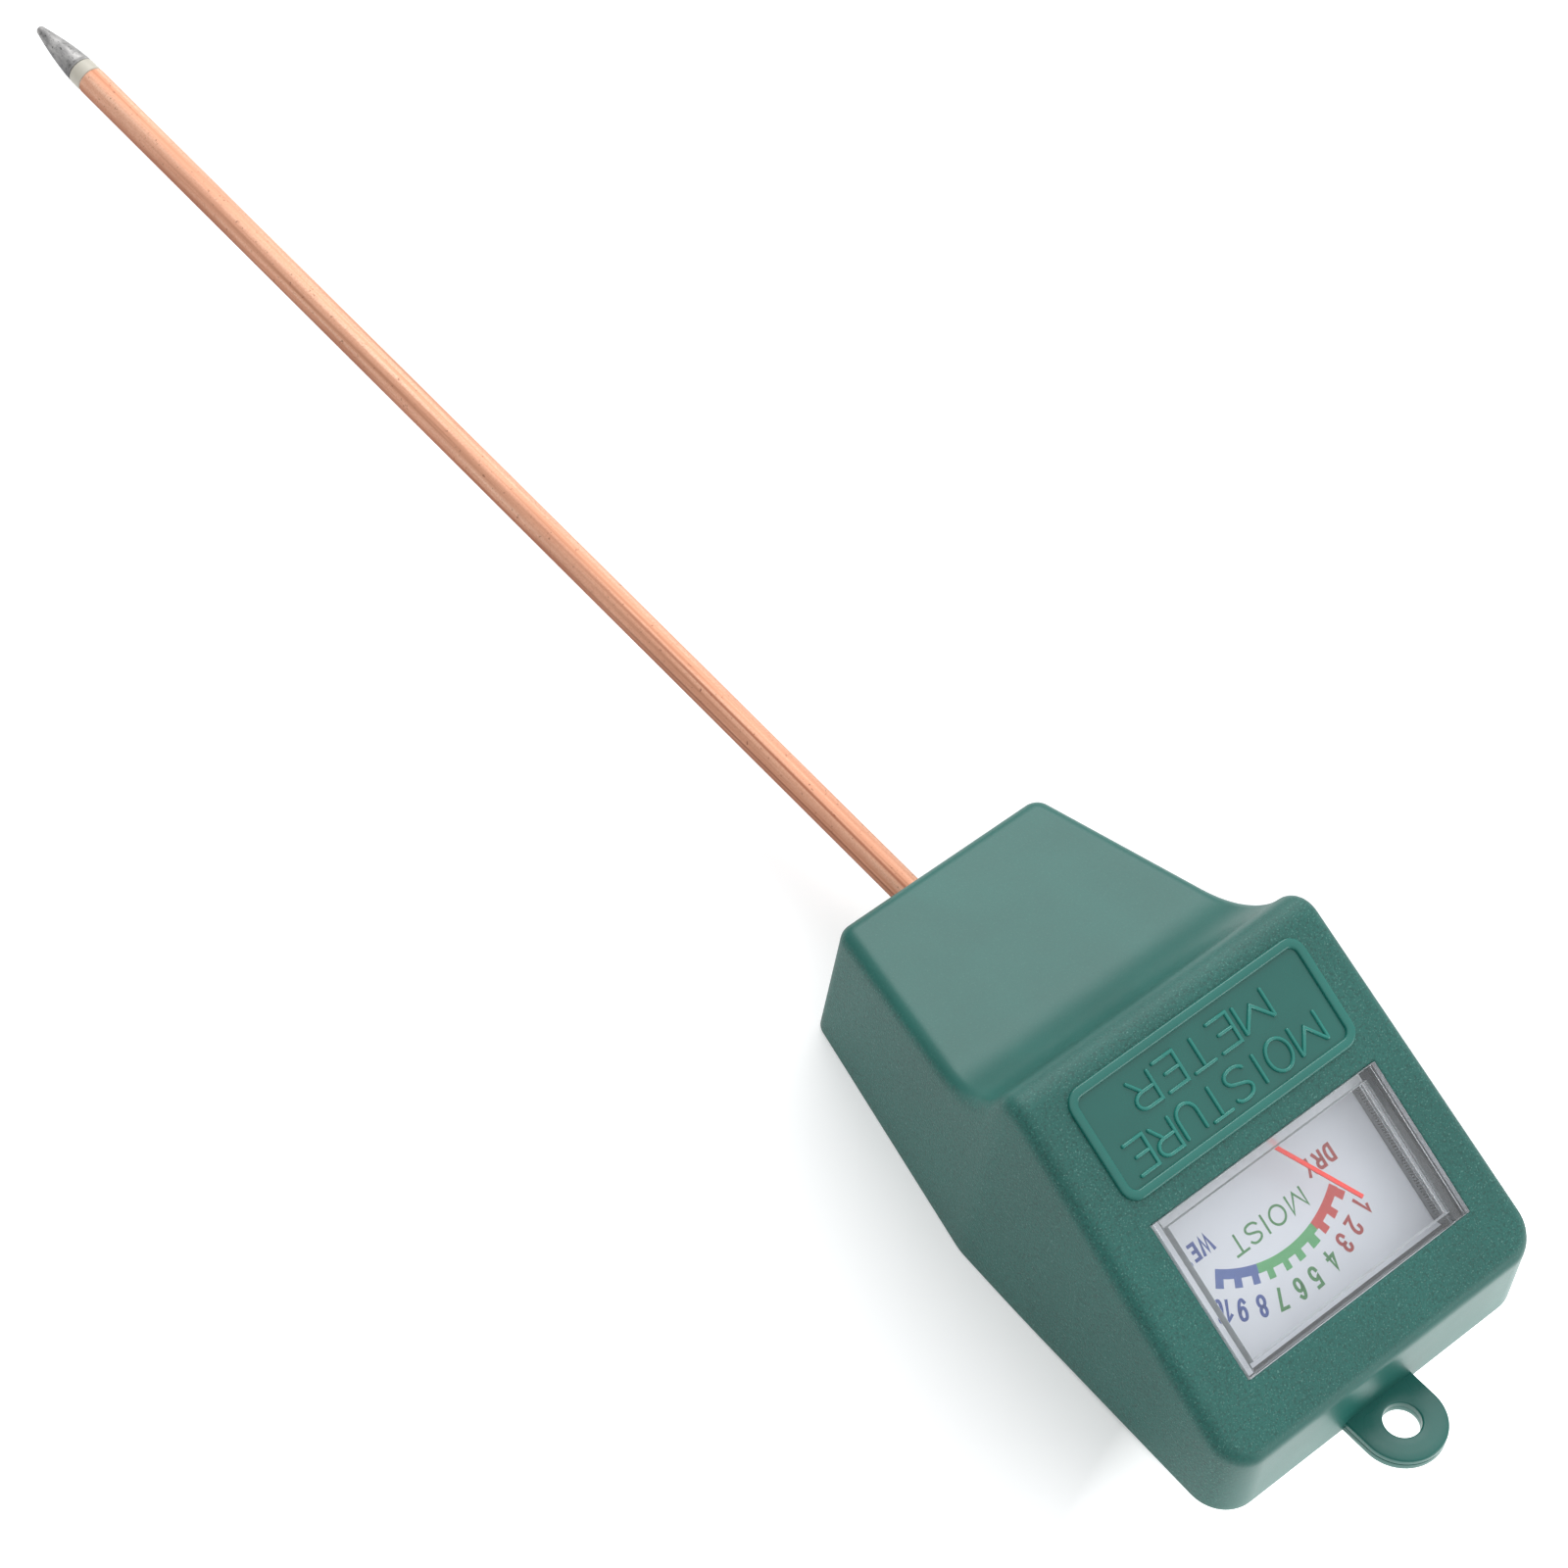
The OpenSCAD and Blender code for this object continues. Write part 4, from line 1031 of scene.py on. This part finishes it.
# ---- the rest of the outside
TIP_REACH = 226.0  # the point's end, out of the neck end
POINT_LEN, RING_LEN = 11.8, 2.7
POINT_START = TIP_REACH - POINT_LEN
RING_START = POINT_START - RING_LEN
TUBE_IN, TUBE_BORE_R = 22.0, 2.0  # the tube's length inside the housing, and its bore
NOSE_R = 0.8


def probe():
    """The copper tube, the off-white ring and the cast point, turned about the probe's axis."""
    tube = turned([(-TUBE_IN, TUBE_BORE_R), (-TUBE_IN, PROBE_R - 0.05), (-TUBE_IN + 0.1, PROBE_R),
                   *[(reach, PROBE_R) for reach in range(-18, 210, 6)],
                   (RING_START - 0.9, PROBE_R), (RING_START - 0.35, PROBE_R - 0.01),
                   (RING_START - 0.1, PROBE_R - 0.08), (RING_START, PROBE_R - 0.25),
                   (RING_START, TUBE_BORE_R)])
    new_piece("probe_tube_drawn", tube, MAT["copper"], ("probe_tube",))
    ring = turned([(RING_START - 5, 1.1), (RING_START - 5, 1.95), (RING_START, 1.95),
                   (RING_START, PROBE_R - 0.2), (RING_START + 0.12, PROBE_R - 0.06),
                   (RING_START + 0.4, PROBE_R), (POINT_START - 0.35, PROBE_R),
                   (POINT_START - 0.1, PROBE_R - 0.05), (POINT_START, PROBE_R - 0.2), (POINT_START, 1.1)])
    new_piece("tip_insulator_moulded", ring, MAT["ring"], ("tip_insulator",))
    new_piece("probe_tip_cast", turned(point_profile()), MAT["zinc"], ("probe_tip",))


def point_profile():
    """The cast point: a shallow groove by the ring, sides between straight and bulging, a round nose."""
    groove = ((0, 1.0), (0, 2.2), (0.1, 2.38), (0.28, 2.46), (0.5, 2.4), (0.66, 2.33), (0.82, 2.41))
    profile = [(POINT_START + reach, radius) for reach, radius in groove]
    run, rise = POINT_LEN - NOSE_R, PROBE_R - NOSE_R
    bulge_r = (run * run + rise * rise) / (2 * rise)
    steps = 24
    for k in range(3, steps + 1):
        t = math.asin(run / bulge_r) * k / steps
        reach = bulge_r * math.sin(t)
        fall = (bulge_r * (1 - math.cos(t)) + rise * reach / run) / 2
        profile.append((POINT_START + reach, PROBE_R - fall))
    for k in range(1, 7):
        t = k / 6 * math.pi / 2
        profile.append((TIP_REACH - NOSE_R + NOSE_R * math.sin(t), max(NOSE_R * math.cos(t), 0.02)))
    return profile


def mark_walls(lens):
    """The attribute "edge" is 1 on the lens's satin walls and 0 on its polished faces."""
    out, down = Vector((0, SIN_F, COS_F)), Vector((0, COS_F, -SIN_F))
    foot = Vector(on_face(0, V0 + 1.75, -5))  # satin ends here inside the lower wall
    values = []
    for face in lens.data.polygons:
        tilt = face.normal.dot(out)
        from_foot = face.center - foot
        inner_left = face.normal.x > 0.5 and face.center.x < -18 * MM
        near_foot = from_foot.dot(down) < 0 < from_foot.dot(out)
        values.append(float((abs(tilt) < 0.5 and not inner_left) or (tilt < -0.5 and near_foot)))
    mark(lens, "edge", "FACE", values)


probe()
bevelled("rear_cover", "rear_cover_moulded", 0.25, MAT["green"])
mark_walls(bevelled("meter_lens", "meter_lens_moulded", 0.05, MAT["clear"]))
bevelled("pointer", "pointer_blade", 0.08, MAT["needle"], "moving_coil")


# ---- floor, light and camera
FLOOR_HALF = 3.0  # metres
GLOW_AT, GLOW_SQUEEZE = place(-8, 106, 0), (0.4, 1, 1)
GLOW_NEAR, GLOW_FAR = 0.012, 0.03  # metres from the glow's middle
SKY_SLOPE, SKY_LEVEL, SKY_LEAST = (-0.3, 0, 1.05), 0.3, 0.05


def floor():
    """A pale floor that glows a little, and most of all by the tab end, where it lights the end face."""
    mesh = bpy.data.meshes.new("floor")
    corners = [(x * FLOOR_HALF, y * FLOOR_HALF, 0) for x, y in ((-1, -1), (1, -1), (1, 1), (-1, 1))]
    mesh.from_pydata(corners, [], [(0, 1, 2, 3)])
    s = Shader("floor_pale")
    apart = s.vector("MULTIPLY", s.vector("SUBTRACT", s.coords, GLOW_AT)[0], GLOW_SQUEEZE)[0]
    glow = s.remap(s.vector("LENGTH", apart)["Value"], GLOW_NEAR, GLOW_FAR, 1.5, 0.34)
    mesh.materials.append(s.done(s.principled(
        Base_Color=(0.7, 0.7, 0.7), Roughness=s.spread(s.noise(30, 2, 0.5), 0.55, 0.65),
        Emission_Color=(1, 1, 1), Emission_Strength=glow)))
    link(bpy.data.objects.new("floor", mesh))


def sky():
    """Light from all round, strongest overhead and weakest level with the floor on the +x side."""
    world = bpy.data.worlds.new("studio")
    world.use_nodes = True
    bpy.context.scene.world = world
    nodes, links = world.node_tree.nodes, world.node_tree.links
    light = nodes["Background"].inputs
    light["Color"].default_value = (0.97, 0.985, 1, 1)
    slope = nodes.new("ShaderNodeVectorMath")
    slope.operation = "DOT_PRODUCT"
    slope.inputs[1].default_value = SKY_SLOPE
    links.new(nodes.new("ShaderNodeTexCoord").outputs["Generated"], slope.inputs[0])
    strength = slope.outputs["Value"]
    for how, value in (("ADD", SKY_LEVEL), ("MAXIMUM", SKY_LEAST)):
        step = nodes.new("ShaderNodeMath")
        step.operation = how
        step.inputs[1].default_value = value
        links.new(strength, step.inputs[0])
        strength = step.outputs[0]
    seen = nodes.new("ShaderNodeMapRange")  # a plain backdrop of strength 1 where it is seen
    links.new(nodes.new("ShaderNodeLightPath").outputs["Is Camera Ray"], seen.inputs[0])
    links.new(strength, seen.inputs[3])
    seen.inputs[4].default_value = 1.0
    links.new(seen.outputs[0], light["Strength"])


def softbox(name, at, aim, size, power):
    """A soft lamp: places and size in metres, power in watts."""
    data = bpy.data.lights.new(name, "AREA")
    data.shape, data.energy = "RECTANGLE", power
    data.size, data.size_y = size
    lamp = link(bpy.data.objects.new(name, data))
    lamp.location = at
    lamp.rotation_mode = "QUATERNION"
    lamp.rotation_quaternion = (Vector(aim) - Vector(at)).to_track_quat("-Z", "Y")


def camera():
    """The photograph's view: a long lens from the +x side, over the hang tab end."""
    data = bpy.data.cameras.new("view")
    data.sensor_width, data.lens = 36.0, 121.08
    data.clip_start, data.clip_end = 0.05, 20.0
    eye, aim = Vector(place(383.05, 273.81, 678.58)), Vector(place(6.941, -27.040, 21.121))
    roll = Matrix.Rotation(math.radians(12.012), 3, "Z")
    cam = link(bpy.data.objects.new("view", data))
    cam.location = eye
    cam.rotation_mode = "QUATERNION"
    cam.rotation_quaternion = ((aim - eye).to_track_quat("-Z", "Y").to_matrix() @ roll).to_quaternion()
    bpy.context.scene.camera = cam
    bpy.context.scene.view_settings.view_transform = "Standard"


floor()
sky()
softbox("behind_probe", (-0.55, -0.68, 0.83), (0, 0, 0.02), (0.9, 0.7), 5.6)
softbox("tab_end", (-0.75, 1.1, 0.3), (0, 0.07, 0.02), (0.7, 0.4), 3)
camera()
